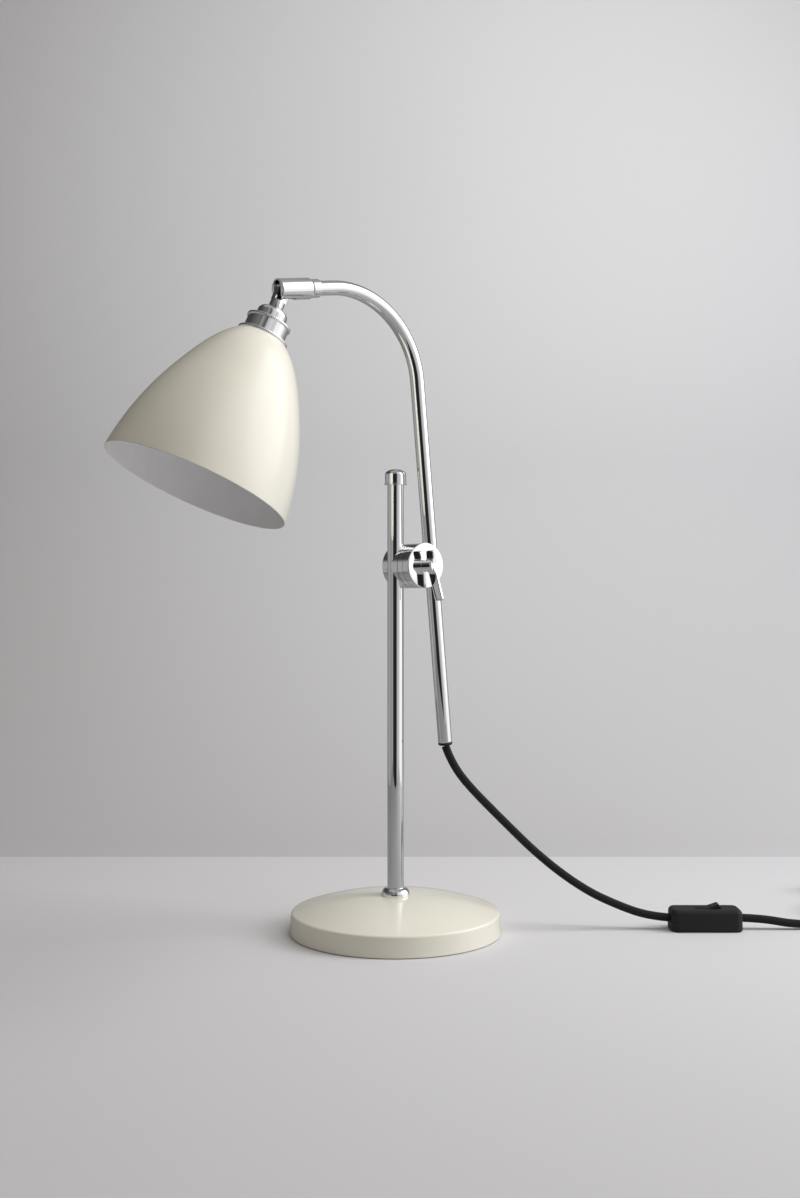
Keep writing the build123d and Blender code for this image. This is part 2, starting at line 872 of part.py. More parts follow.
def coil_tie():
    """The strap round the coil's turns at one place."""
    start = (tie_angle - flex_heading + 90.0) / 360.0
    passes = [start + i for i in range(-1, coil_turns + 2)]
    passes = [t for t in passes if 0 <= t <= coil_total_turn()]
    centre = coil_centre()
    outs = [coil_line(t) - centre for t in passes]
    radii = [math.hypot(out.X, out.Y) for out in outs]
    low = min(radii) - flex_radius - tie_side_clearance
    high = max(radii) + flex_radius + tie_side_clearance
    bottom = coil_height - flex_radius - tie_clearance
    top = coil_height + coil_layer_step + flex_radius + tie_clearance
    opening = Rectangle(high - low, top - bottom)
    opening = fillet(opening.vertices(), flex_radius)
    band = offset(opening, tie_thickness) - opening
    strap = extrude(Plane.XZ * band, tie_width / 2, both=True)
    strap = strap.moved(Location(((low + high) / 2, 0, (bottom + top) / 2)))
    return strap.rotate(Axis.Z, tie_angle).moved(Location(centre))


def place_switch(shape):
    """Sets a piece modelled along X about the switch's middle in line with the flex."""
    return shape.rotate(Axis.Z, flex_heading).moved(Location(flex_point(switch_along, switch_across, 0)))


def switch_half(bottom, top):
    """A rounded slab of the switch's outline."""
    outline = RectangleRounded(switch_length, switch_width, switch_corner_round)
    return Pos(0, 0, bottom) * extrude(outline, top - bottom)


def switch_base():
    """The lower half of the switch's case."""
    case = switch_half(0, switch_parting)
    foot = case.edges().group_by(Axis.Z)[0]
    return place_switch(fillet(foot, switch_edge_round / 2))


def rocker_well():
    """The well that the rocker stands in, with notches for its pins."""
    swing = math.radians(rocker_swing)
    above = 2 * rocker_pin_radius + rocker_rise
    half = rocker_length / 2 * math.cos(swing) + above * math.sin(swing) + moving_gap
    well = Box(2 * half, rocker_width + 2 * moving_gap, 2 * rocker_depth)
    reach = rocker_width + 2 * rocker_pin_length + 2 * moving_gap
    pins = Rot(90, 0, 0) * Cylinder(rocker_pin_radius + running_clearance, reach)
    return Pos(rocker_offset, 0, switch_height) * well + Pos(rocker_offset, 0, rocker_axis_height()) * pins


def rocker_axis_height():
    """The height of the rocker's pins."""
    return switch_height - 2 * rocker_pin_radius


def switch_cover():
    """The upper half of the switch's case, with the rocker's well."""
    case = switch_half(switch_parting, switch_height)
    top = case.edges().group_by(Axis.Z)[-1]
    return place_switch(fillet(top, switch_edge_round) - rocker_well())


def switch_rocker():
    """The rocker: two flat slopes that meet over its pins, tipped to one side."""
    half = rocker_length / 2
    drop = half * math.tan(math.radians(rocker_swing))
    crest = rocker_axis_height() + 2 * rocker_pin_radius + rocker_rise
    floor = switch_height - rocker_depth + drop + moving_gap
    inner = half - rocker_depth * math.tan(math.radians(rocker_swing))
    corners = [(-half, crest), (0, crest - drop / 2), (half, crest), (inner, floor), (-inner, floor)]
    body = extrude(Plane.XZ * make_face(Polyline(*corners, close=True)), rocker_width / 2, both=True)
    pins = Rot(90, 0, 0) * Cylinder(rocker_pin_radius, rocker_width + 2 * rocker_pin_length - 2 * moving_gap)
    rocker = body + Pos(0, 0, rocker_axis_height()) * pins
    tipped = rocker.rotate(Axis((0, 0, rocker_axis_height()), (0, 1, 0)), -rocker_swing)
    return place_switch(tipped.moved(Location((rocker_offset, 0, 0))))


def plug_start():
    """Where the coil's straight end meets the plug's boot."""
    return coil_line(coil_total_turn()) + Vector(0, coil_end_run + seat_clearance, 0)


def plug_boot():
    """The tapered strain relief behind the plug."""
    thin = Plane(plug_start(), z_dir=(0, 1, 0)) * Circle(boot_thin_radius)
    thick = Plane(plug_start() + Vector(0, boot_length, 0), z_dir=(0, 1, 0)) * Circle(boot_thick_radius)
    return loft([thin, thick])


def plug_body():
    """The moulded plug, lying on its flat side."""
    start = plug_start() + Vector(0, boot_length, 0)
    height = 2 * start.Z
    block = Box(plug_width, plug_length, height, align=(Align.CENTER, Align.MIN, Align.CENTER))
    block = fillet(block.edges().filter_by(Axis.Y), plug_edge_round)
    return block.moved(Location(start))


def plug_pin(side):
    """One round pin of the plug."""
    start = plug_start() + Vector(side * plug_pin_spacing / 2, boot_length + plug_length, 0)
    pin = rod(start, start + Vector(0, plug_pin_length, 0), plug_pin_radius)
    return fillet(pin.edges().sort_by(Axis.Y)[-1:], plug_pin_radius / 2)


def main():
    """Builds every piece and writes one file for each."""
    pieces = {
        "base_cover": base_cover(),
        "base_weight": base_weight(),
        "base_plate": base_plate(),
        "base_felt": base_felt(),
        "post_collar": post_collar(),
        "post_tube": post_tube(),
        "post_stud": post_stud(),
        "post_washer": post_washer(),
        "post_lock_nut": post_lock_nut(),
        "post_cap": post_cap(),
        "post_jaw_rear": post_jaw_rear(),
        "post_jaw_front": post_jaw_front(),
        "friction_washer": friction_washer(),
        "inner_jaw": inner_jaw(),
        "outer_jaw": outer_jaw(),
        "clamp_bolt": clamp_bolt(),
        "wing_nut": wing_nut(),
        "arm_tube": arm_tube(),
        "arm_lead": arm_lead(),
        "arm_ferrule": arm_ferrule(),
        "cord_grommet": cord_grommet(),
        "knuckle_body": knuckle_body(),
        "pivot_pin": pivot_pin(),
        "tongue_washer_near": tongue_washer(-1),
        "tongue_washer_far": tongue_washer(1),
        "head_stem": head_stem(),
        "holder_cup": holder_cup(),
        "holder_skirt": holder_skirt_cover(),
        "shade_ring": shade_ring(),
        "shade": shade(),
        "shade_carrier": shade_carrier(),
        "lamp_insert": lamp_insert(),
        "socket_shell": socket_shell(),
        "centre_contact": centre_contact(),
        "cord_hanging": cord_hanging(),
        "switch_base": switch_base(),
        "switch_cover": switch_cover(),
        "switch_rocker": switch_rocker(),
        "cord_lead_out": cord_lead_out(),
        "cord_coil": cord_coil(),
        "coil_tie": coil_tie(),
        "plug_boot": plug_boot(),
        "plug_body": plug_body(),
        "plug_pin_near": plug_pin(-1),
        "plug_pin_far": plug_pin(1),
    }
    for number, place in enumerate(plate_screw_places(), 1):
        pieces[f"base_plate_screw_{number}"] = base_plate_screw(place)
    os.makedirs("parts", exist_ok=True)
    for name, solid in pieces.items():
        export_step(solid, f"parts/{name}.step")
    print("pivot", pivot, "arm foot", arm_foot, "flex exit", flex_exit)


main()
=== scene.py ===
import bpy
import bmesh
import json
import numpy as np
from math import radians
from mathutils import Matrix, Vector


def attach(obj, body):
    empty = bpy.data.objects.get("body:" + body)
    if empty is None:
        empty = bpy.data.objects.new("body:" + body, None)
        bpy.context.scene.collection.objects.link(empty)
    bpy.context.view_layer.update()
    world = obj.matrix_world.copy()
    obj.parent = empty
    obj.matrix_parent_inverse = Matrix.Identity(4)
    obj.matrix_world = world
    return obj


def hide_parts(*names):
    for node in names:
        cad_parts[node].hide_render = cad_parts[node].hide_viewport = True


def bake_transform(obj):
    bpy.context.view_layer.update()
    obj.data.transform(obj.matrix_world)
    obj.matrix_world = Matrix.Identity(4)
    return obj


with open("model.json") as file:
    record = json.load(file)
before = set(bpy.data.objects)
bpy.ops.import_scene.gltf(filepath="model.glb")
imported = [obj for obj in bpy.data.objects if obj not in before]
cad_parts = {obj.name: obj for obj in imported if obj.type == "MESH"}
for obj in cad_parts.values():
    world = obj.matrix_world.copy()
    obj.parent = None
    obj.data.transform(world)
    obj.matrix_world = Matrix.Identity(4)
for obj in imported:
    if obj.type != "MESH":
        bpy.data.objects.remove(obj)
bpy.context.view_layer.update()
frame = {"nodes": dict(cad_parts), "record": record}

scene = bpy.context.scene
scene.view_settings.view_transform = "Standard"
cadNodes = frame["nodes"]
mm = 0.001
# a length in millimetres that is too short to count
noLength = 1e-6

# the camera stands level, turned to the photograph's side of the lamp
viewPoint = {"place": (-0.7001, -0.9022, 0.2829), "turn": -38.0, "focal": 1341.0, "frameHeight": 1198.0,
             "sensor": 36.0, "clipStart": 0.01}
cameraData = bpy.data.cameras.new("camera")
cameraData.sensor_width = viewPoint["sensor"]
cameraData.lens = viewPoint["sensor"] * viewPoint["focal"] / viewPoint["frameHeight"]
cameraData.clip_start = viewPoint["clipStart"]
camera = bpy.data.objects.new("camera", cameraData)
camera.location = viewPoint["place"]
heading = radians(viewPoint["turn"])
camera.rotation_euler = (radians(90), 0, heading)
scene.collection.objects.link(camera)
scene.camera = camera
towardRight = np.array([np.cos(heading), np.sin(heading), 0.0])
towardCamera = np.array([np.sin(heading), -np.cos(heading), 0.0])
upward = np.array([0.0, 0.0, 1.0])
sideward = np.array([0.0, 1.0, 0.0])
print("camera placed")


# rows scaled to unit length
def unit(rows):
    return rows / np.linalg.norm(rows, axis=-1, keepdims=True)


# how long each step of a line is, and how far along it each point lies
def stepsOf(line):
    return np.linalg.norm(np.diff(line, axis=0), axis=1)


def runOf(line):
    return np.concatenate([[0], np.cumsum(stepsOf(line))])


# a line without the points that lie on the one before
def thinned(line, gap):
    return line[np.concatenate([[True], stepsOf(line) > gap])]


# one value of every item of a mesh, as an array
def readAll(items, key, width=1, kind=np.float64):
    values = np.empty(len(items) * width, kind)
    items.foreach_get(key, values)
    return values.reshape(-1, width) if width > 1 else values


# a mesh from whole arrays: corners of quads first, then of three-sided fans, which take no place in the map
def putMesh(name, points, quads, fans=None, uv=None):
    corners = quads.ravel()
    sizes = np.full(len(quads), 4)
    if fans is not None:
        corners = np.concatenate([corners, fans.ravel()])
        sizes = np.concatenate([sizes, np.full(len(fans), 3)])
    mesh = bpy.data.meshes.new(name)
    mesh.vertices.add(len(points))
    mesh.vertices.foreach_set("co", (points * mm).astype(np.float32).ravel())
    mesh.loops.add(len(corners))
    mesh.loops.foreach_set("vertex_index", corners.astype(np.int32))
    mesh.polygons.add(len(sizes))
    mesh.polygons.foreach_set("loop_start", (np.cumsum(sizes) - sizes).astype(np.int32))
    if uv is not None:
        uv = np.concatenate([uv, np.zeros((len(corners) - len(uv), 2))])
        mesh.uv_layers.new(name="flow").data.foreach_set("uv", uv.astype(np.float32).ravel())
    mesh.update(calc_edges=True)
    mesh.validate()
    return mesh


# quads of a grid of rows and columns, all wound the same way, with both parameters' steps at their corners
def gridQuads(rows, columns, closeRows, closeColumns):
    i, j = np.meshgrid(np.arange(rows if closeRows else rows - 1),
                       np.arange(columns if closeColumns else columns - 1), indexing="ij")
    i = np.stack([i, i, i + 1, i + 1], -1).reshape(-1, 4)
    j = np.stack([j, j + 1, j + 1, j], -1).reshape(-1, 4)
    return (i % rows) * columns + j % columns, i, j


# closed forms get their faces turned to point away from the solid
def outward(mesh):
    work = bmesh.new()
    work.from_mesh(mesh)
    bmesh.ops.recalc_face_normals(work, faces=work.faces)
    work.to_mesh(mesh)
    work.free()
    return mesh


# rings of points as one skin: a loop of rings, or each end closed by a fan to its pole where it has one;
# travel, the way from ring to ring, makes a map of (turn, length in metres)
def ringSkin(name, rings, poles=(None, None), closed=False, travel=None):
    count, columns = rings.shape[:2]
    quads, i, j = gridQuads(count, columns, closed, True)
    points, fans, ring = [rings.reshape(-1, 3)], [], np.arange(columns)
    for start, pole in zip((0, (count - 1) * columns), poles):
        if pole is not None:
            tip = np.full(columns, count * columns + len(fans))
            fans.append(np.column_stack([tip, start + ring, start + (ring + 1) % columns]))
            points.append(pole[None])
    fans = np.concatenate(fans) if fans else None
    uv = None if travel is None else np.stack([j / columns, travel[i] * mm], -1).reshape(-1, 2)
    return outward(putMesh(name, np.concatenate(points), quads, fans, uv))


# circles about a line of middles, on two spokes square to it, with a reach for each ring and angle
def circleRings(middles, first, second, reach, angle):
    spokes = np.cos(angle)[None, :, None] * first[:, None] + np.sin(angle)[None, :, None] * second[:, None]
    return middles[:, None] + reach[:, :, None] * spokes


# the corners of a rounded oblong: the sides that each point belongs to, and its angle on the corner's arc
def cornerArcs(steps):
    side = np.repeat([(1, 1), (-1, 1), (-1, -1), (1, -1)], steps, axis=0)
    angle = np.linspace(0, np.pi / 2, steps) + np.arange(4)[:, None] * np.pi / 2
    return side, angle.ravel()


# an object of a mesh, smooth but for edges past an angle
def standPiece(name, mesh, finishes, sharpAngle):
    piece = bpy.data.objects.new(name, mesh)
    scene.collection.objects.link(piece)
    mesh.polygons.foreach_set("use_smooth", np.ones(len(mesh.polygons), dtype=bool))
    mesh.set_sharp_from_angle(angle=radians(sharpAngle))
    for finish in finishes:
        mesh.materials.append(finish)
    return piece


# two unit vectors square to an axis, the first one as near as can be to a guide
def squareTo(axis, guide):
    first = unit(guide - axis * np.dot(guide, axis))
    return first, np.cross(axis, first)


# a section's corner list (radius, height, round) as a line, with each corner eased by an arc of that round
def easedSection(corners, closed=True, steps=7):
    corners = np.array([(tuple(c) + (0.0,))[:3] for c in corners], float)
    line = []
    for k, (r, z, ease) in enumerate(corners):
        here = np.array([r, z])
        if ease <= 0 or (not closed and k in (0, len(corners) - 1)):
            line.append(here[None])
            continue
        before = unit(corners[k - 1, :2] - here)
        after = unit(corners[(k + 1) % len(corners), :2] - here)
        half = np.arccos(np.clip(np.dot(before, after), -1, 1)) / 2
        centre = here + unit(before + after) * ease / np.sin(half)
        start, end = here + before * ease / np.tan(half), here + after * ease / np.tan(half)
        t, turn = np.linspace(0, 1, steps)[:, None], np.pi - 2 * half
        spokes = (start - centre) * np.sin((1 - t) * turn) + (end - centre) * np.sin(t * turn)
        line.append(centre + spokes / np.sin(turn))
    return thinned(np.concatenate(line), noLength)


# an arc of a circle from a to b whose middle stands off the chord, to the left where the bulge is positive
def bulgeArc(a, b, bulge, steps):
    a, b = np.array(a, float), np.array(b, float)
    chord = np.linalg.norm(b - a)
    x = np.linspace(-chord / 2, chord / 2, steps)
    radius = (chord ** 2 / 4 + bulge ** 2) / (2 * abs(bulge))
    y = np.sign(bulge) * (np.sqrt(radius ** 2 - x ** 2) - (radius - abs(bulge)))
    forward = unit(b - a)
    return (a + b) / 2 + x[:, None] * forward + y[:, None] * np.array([-forward[1], forward[0]])


# an arc of a circle about a middle, between two angles in degrees
def roundArc(middle, radius, start, end, steps):
    angle = np.radians(np.linspace(start, end, steps))
    return np.array(middle) + radius * np.column_stack([np.cos(angle), np.sin(angle)])


# guard rows a little way in from both ends of each long run, so that flats stay flat in a mirror finish
def guarded(line, closed=True, guard=0.3):
    start = line if closed else line[:-1]
    following = np.roll(line, -1, axis=0) if closed else line[1:]
    span = np.linalg.norm(following - start, axis=1)
    far = span > 4 * guard
    step = (following - start) * np.where(far, guard / np.maximum(span, 1e-9), 0.0)[:, None]
    rows = np.stack([start, start + step, following - step], 1)[np.stack([span >= 0, far, far], 1)]
    return rows if closed else np.concatenate([rows, line[-1:]])


# a surface wrapped round a line of middles: ring k is a circle of radius k on two spokes square to the line;
# relief adds to the radius by ring and angle, and a ring of no radius becomes one pole point
def wrappedMesh(name, middles, first, second, radii, columns, closed, relief=None):
    poles = [middles[k] if not closed and radii[k] < noLength else None for k in (0, -1)]
    body = slice(int(poles[0] is not None), len(radii) - int(poles[1] is not None))
    angle = np.arange(columns) * 2 * np.pi / columns
    reach = radii[body][:, None] + np.zeros(columns)
    if relief is not None:
        reach = reach + relief(np.arange(len(radii))[body], angle)
    rings = circleRings(middles[body], first[body], second[body], reach, angle)
    section = np.column_stack([np.linalg.norm(middles[body] - middles[body][0], axis=1), radii[body]])
    return ringSkin(name, rings, poles, closed, runOf(np.concatenate([section, section[:1]])))


# a turned piece: (radius, height) rows carried round a straight axis
def turnedMesh(name, line, origin=(0, 0, 0), axis=upward, columns=96, closed=True, relief=None, guard=True):
    axis = unit(np.array(axis, float))
    line = guarded(line, closed) if guard else line
    first, second = squareTo(axis, sideward if abs(axis[1]) < 0.9 else upward)
    middles = np.array(origin, float) + line[:, 1:] * axis
    lift = None if relief is None else (lambda rows, angle: relief(line[rows], angle))
    ones = np.ones((len(line), 1))
    return wrappedMesh(name, middles, ones * first, ones * second, line[:, 0], columns, closed, lift)


# how worn each point's edges are: the turn from face to face over the millimetres between their middles,
# for outward turns only, from one that stays sound to one that is rubbed bare
rubbing = {"leastWay": 0.15, "sound": 0.3, "bare": 1.5}


def rubEdges(mesh):
    normals = readAll(mesh.polygons, "normal", 3)
    centres = readAll(mesh.polygons, "center", 3) / mm
    edgeOf = readAll(mesh.loops, "edge_index", kind=np.int32)
    faceOf = np.repeat(np.arange(len(mesh.polygons)), readAll(mesh.polygons, "loop_total", kind=np.int32))
    order = np.argsort(edgeOf, kind="stable")
    edgeOf, faceOf = edgeOf[order], faceOf[order]
    pair = np.flatnonzero(edgeOf[1:] == edgeOf[:-1])
    one, two = faceOf[pair], faceOf[pair + 1]
    way = centres[two] - centres[one]
    turn = np.arccos(np.clip((normals[one] * normals[two]).sum(1), -1, 1))
    bend = turn / np.maximum(np.linalg.norm(way, axis=1), rubbing["leastWay"])
    bend = np.where((normals[one] * way).sum(1) < 0, bend, 0)
    rub = np.zeros(len(mesh.vertices))
    np.maximum.at(rub, readAll(mesh.edges, "vertices", 2, np.int32)[edgeOf[pair]], bend[:, None])
    rub = np.clip((rub - rubbing["sound"]) / (rubbing["bare"] - rubbing["sound"]), 0, 1)
    mesh.attributes.new("rub", "FLOAT", "POINT").data.foreach_set("value", rub.astype(np.float32))


# a copy of a solid's mesh, with the loose triangles' corners merged where they lie this close, in metres
mergeReach = 2e-6


def mergedCopy(solid):
    mesh = cadNodes[solid].data.copy()
    mesh.materials.clear()
    work = bmesh.new()
    work.from_mesh(mesh)
    bmesh.ops.remove_doubles(work, verts=work.verts, dist=mergeReach)
    work.to_mesh(mesh)
    work.free()
    return mesh


# a socket takes another socket's value, or a plain one of its own
def feed(tree, socket, value):
    if isinstance(value, bpy.types.NodeSocket):
        tree.links.new(value, socket)
    elif socket.type == "RGBA":
        socket.default_value = (*value, 1)
    else:
        socket.default_value = value


# a node with its settings and its sockets' values, by name
def node(tree, kind, **values):
    made = tree.nodes.new(kind)
    for key, value in values.items():
        if hasattr(made, key):
            setattr(made, key, value)
        else:
            feed(tree, made.inputs[key.replace("_", " ")], value)
    return made


# a number worked out from others
def maths(tree, operation, *values, kind="ShaderNodeMath"):
    made = node(tree, kind, operation=operation)
    for socket, value in zip(made.inputs, values):
        feed(tree, socket, value)
    return made.outputs["Value"]


# cloudy noise between 0 and 1
def noise(tree, vector, scale, detail, roughness=0.5):
    made = node(tree, "ShaderNodeTexNoise", Vector=vector, Scale=scale, Detail=detail, Roughness=roughness)
    return made.outputs["Fac"]


# a colour, or a number, that runs between two ends with a mask
def mixed(tree, mask, low, high, kind="RGBA"):
    return node(tree, "ShaderNodeMix", data_type=kind, Factor=mask, A=low, B=high).outputs["Result"]


# a number that runs evenly between two ends with a mask
def between(tree, mask, low, high):
    return node(tree, "ShaderNodeMapRange", Value=mask, To_Min=low, To_Max=high).outputs["Result"]


# a smooth share of how far a value has come between two ends
def eased(tree, value, low, high):
    made = node(tree, "ShaderNodeMapRange", interpolation_type="SMOOTHSTEP", Value=value,
                From_Min=low, From_Max=high)
    return made.outputs["Result"]


# a normal that leans with the slope of a height
def bumped(tree, height, strength, depth):
    return node(tree, "ShaderNodeBump", Height=height, Strength=strength, Distance=depth).outputs["Normal"]


# a group of nodes: inputs with no starting value are vectors, and every output is a number
def newGroup(name, inputs, outputs):
    tree = bpy.data.node_groups.new(name, "ShaderNodeTree")
    for label, start in inputs.items():
        kind = "NodeSocketVector" if start is None else "NodeSocketFloat"
        socket = tree.interface.new_socket(name=label, in_out="INPUT", socket_type=kind)
        if start is not None:
            socket.default_value = start
    for label in outputs:
        tree.interface.new_socket(name=label, in_out="OUTPUT", socket_type="NodeSocketFloat")
    return tree, tree.nodes.new("NodeGroupInput").outputs, tree.nodes.new("NodeGroupOutput").inputs


# a group placed in a material, with the material's own values
def placeGroup(tree, group, **values):
    return node(tree, "ShaderNodeGroup", node_tree=group, **values).outputs


# handling marks: broad clouds broken up by fine streaks, 0 clean to 1 smeared
smears = {"cloudDetail": 4.0, "cloudRoughness": 0.6, "streakScale": 420.0, "streakDetail": 2.0,
          "range": (0.12, 0.42)}
marks, marksIn, marksOut = newGroup(
    "handlingMarks", {"Vector": None, "Cloud Scale": 18.0, "Cover": 0.5}, ["Mask"])
cloud = noise(marks, marksIn["Vector"], marksIn["Cloud Scale"], smears["cloudDetail"],
              smears["cloudRoughness"])
streak = noise(marks, marksIn["Vector"], smears["streakScale"], smears["streakDetail"])
smear = eased(marks, maths(marks, "MULTIPLY", cloud, streak), *smears["range"])
feed(marks, marksOut["Mask"], maths(marks, "MULTIPLY", smear, marksIn["Cover"]))

# surface grain: two sizes of noise laid over each other, as a height and as a tone
grains = {"detail": 3.0, "smallRoughness": 0.55, "wideScale": 26.0}
grain, grainIn, grainOut = newGroup(
    "surfaceGrain", {"Vector": None, "Grain Scale": 900.0, "Coarse Share": 0.35}, ["Height", "Tone"])
small = noise(grain, grainIn["Vector"], grainIn["Grain Scale"], grains["detail"], grains["smallRoughness"])
wide = noise(grain, grainIn["Vector"], grains["wideScale"], grains["detail"])
feed(grain, grainOut["Height"], mixed(grain, grainIn["Coarse Share"], small, wide, "FLOAT"))
feed(grain, grainOut["Tone"], wide)

# edge wear: the rub along edges, broken up by noise, 0 sound to 1 worn
breaks = {"detail": 4.0, "roughness": 0.65, "range": (0.22, 0.60)}
wear, wearIn, wearOut = newGroup(
    "edgeWear", {"Rub": 0.0, "Vector": None, "Break Scale": 160.0, "Cover": 0.4}, ["Mask"])
chips = noise(wear, wearIn["Vector"], wearIn["Break Scale"], breaks["detail"], breaks["roughness"])
worn = eased(wear, maths(wear, "MULTIPLY", chips, wearIn["Rub"]), *breaks["range"])
feed(wear, wearOut["Mask"], maths(wear, "MULTIPLY", worn, wearIn["Cover"]))

# braid: two sets of yarns that wind opposite ways and take turns on top, on a map of (turn, metres along)
threadLift = 0.25
braid, braidIn, braidOut = newGroup(
    "braidedYarn", {"Flow": None, "Yarns": 12.0, "Rise": 0.0042, "Threads": 4.0}, ["Height", "Tone"])
flow = node(braid, "ShaderNodeSeparateXYZ", Vector=braidIn["Flow"]).outputs
yarnTurn = maths(braid, "MULTIPLY", flow["X"], braidIn["Yarns"])
yarnRise = maths(braid, "DIVIDE", flow["Y"], braidIn["Rise"])
windings = [maths(braid, way, yarnTurn, yarnRise) for way in ("ADD", "SUBTRACT")]
crossing = maths(braid, "ADD", *[maths(braid, "FLOOR", winding) for winding in windings])
parts = [maths(braid, "FRACT", winding) for winding in windings]
humps = [maths(braid, "SINE", maths(braid, "MULTIPLY", part, np.pi)) for part in parts]
plies = [maths(braid, "MULTIPLY", part, braidIn["Threads"]) for part in parts]
threads = [maths(braid, "COSINE", maths(braid, "MULTIPLY", ply, 2 * np.pi)) for ply in plies]
topThread = mixed(braid, maths(braid, "PINGPONG", crossing, 1.0), *threads, "FLOAT")
pillow = maths(braid, "MULTIPLY", *humps)
feed(braid, braidOut["Height"], maths(braid, "MULTIPLY_ADD", topThread, threadLift, pillow))
# the tone is painted shade: darker in the grooves between the yarns, lighter on their crowns
feed(braid, braidOut["Tone"], pillow)
print("shared shader groups made")


# a new material: its tree, its shader's sockets and the coordinates it reads
def newFinish(name):
    material = bpy.data.materials.new(name)
    material.use_nodes = True
    tree = material.node_tree
    return material, tree, tree.nodes["Principled BSDF"].inputs, node(tree, "ShaderNodeTexCoord").outputs


# colour and roughness as they are, giving way to a worn tone where edges are rubbed
def wornEdges(tree, surface, place, colour, roughness, wornColour, wornRoughness, cover):
    rub = node(tree, "ShaderNodeAttribute", attribute_name="rub").outputs["Fac"]
    mask = placeGroup(tree, wear, Rub=rub, Vector=place, Cover=cover)["Mask"]
    feed(tree, surface["Base Color"], mixed(tree, mask, colour, wornColour))
    feed(tree, surface["Roughness"], mixed(tree, mask, roughness, wornRoughness, "FLOAT"))


# sprayed paint: an even tone with a faint drift, an orange-peel ripple and a duller film where hands go
paint = {"peelScale": 260.0, "peelCoarse": 0.3, "peelStrength": 0.05, "peelDepth": 0.0006, "filmScale": 14.0,
         "filmCover": 0.8, "wornTone": 0.7, "wornRoughness": 0.55, "wornCover": 0.35, "coatRoughness": 0.05}


def paintFinish(name, low, high, dull, coat):
    material, tree, surface, places = newFinish(name)
    place = places["Object"]
    peel = placeGroup(tree, grain, Vector=place, Grain_Scale=paint["peelScale"],
                      Coarse_Share=paint["peelCoarse"])
    film = placeGroup(tree, marks, Vector=place, Cloud_Scale=paint["filmScale"], Cover=paint["filmCover"])
    wornEdges(tree, surface, place, mixed(tree, peel["Tone"], low, high),
              between(tree, film["Mask"], *dull),
              np.array(low) * paint["wornTone"], paint["wornRoughness"], paint["wornCover"])
    feed(tree, surface["Normal"], bumped(tree, peel["Height"], paint["peelStrength"], paint["peelDepth"]))
    surface["Coat Weight"].default_value = coat
    surface["Coat Roughness"].default_value = paint["coatRoughness"]
    return material


# plated or turned metal: a clear mirror that handling marks blur a little, with a fine lay on plainer metal
metal = {"filmScale": 22.0, "filmCover": 0.7, "layScale": 1400.0, "layCoarse": 0.2, "layDepth": 0.0002,
         "wornTone": 0.9, "wornDulling": 0.12, "wornCover": 0.5}


def metalFinish(name, low, high, smooth, dull, lay=0.0):
    material, tree, surface, places = newFinish(name)
    place = places["Object"]
    film = placeGroup(tree, marks, Vector=place, Cloud_Scale=metal["filmScale"], Cover=metal["filmCover"])
    lines = placeGroup(tree, grain, Vector=place, Grain_Scale=metal["layScale"],
                       Coarse_Share=metal["layCoarse"])
    wornEdges(tree, surface, place, mixed(tree, lines["Tone"], low, high),
              between(tree, film["Mask"], smooth, dull),
              np.array(low) * metal["wornTone"], dull + metal["wornDulling"], metal["wornCover"])
    if lay > 0:
        feed(tree, surface["Normal"], bumped(tree, lines["Height"], lay, metal["layDepth"]))
    surface["Metallic"].default_value = 1.0
    return material


# moulded or woven matter: a grained, matt surface with a tone that drifts
matt = {"coarse": 0.25, "wornTone": 2.0, "wornCover": 0.6}


def mattFinish(name, low, high, rough, scale, strength, depth, specular, sheen=0.0):
    material, tree, surface, places = newFinish(name)
    place = places["Object"]
    skin = placeGroup(tree, grain, Vector=place, Grain_Scale=scale, Coarse_Share=matt["coarse"])
    wornEdges(tree, surface, place, mixed(tree, skin["Tone"], low, high),
              between(tree, skin["Height"], *rough),
              np.array(high) * matt["wornTone"], rough[0], matt["wornCover"])
    feed(tree, surface["Normal"], bumped(tree, skin["Height"], strength, depth))
    surface["Specular IOR Level"].default_value = specular
    surface["Sheen Weight"].default_value = sheen
    return material


# braided cotton: painted shade between the yarns and the yarns' height, from the braid group on the flex's
# own map, dulled by fuzz
yarn = {"count": 12.0, "rise": 0.0042, "threads": 4.0, "dark": (0.006, 0.006, 0.0065),
        "light": (0.021, 0.020, 0.021), "fuzzScale": 2600.0, "fuzzCoarse": 0.2, "roughness": (0.62, 0.85),
        "strength": 0.6, "depth": 0.0002, "specular": 0.3, "sheen": 0.12, "sheenRoughness": 0.4}


def braidFinish(name):
    material, tree, surface, places = newFinish(name)
    weave = placeGroup(tree, braid, Flow=places["UV"], Yarns=yarn["count"], Rise=yarn["rise"],
                       Threads=yarn["threads"])
    fuzz = placeGroup(tree, grain, Vector=places["Object"], Grain_Scale=yarn["fuzzScale"],
                      Coarse_Share=yarn["fuzzCoarse"])
    # the braid's colour mixes a painted shade colour in the grooves with a lighter colour on the yarns'
    # crowns
    feed(tree, surface["Base Color"], mixed(tree, weave["Tone"], yarn["dark"], yarn["light"]))
    feed(tree, surface["Roughness"], between(tree, fuzz["Height"], *yarn["roughness"]))
    feed(tree, surface["Normal"], bumped(tree, weave["Height"], yarn["strength"], yarn["depth"]))
    surface["Specular IOR Level"].default_value = yarn["specular"]
    surface["Sheen Weight"].default_value = yarn["sheen"]
    surface["Sheen Roughness"].default_value = yarn["sheenRoughness"]
    return material


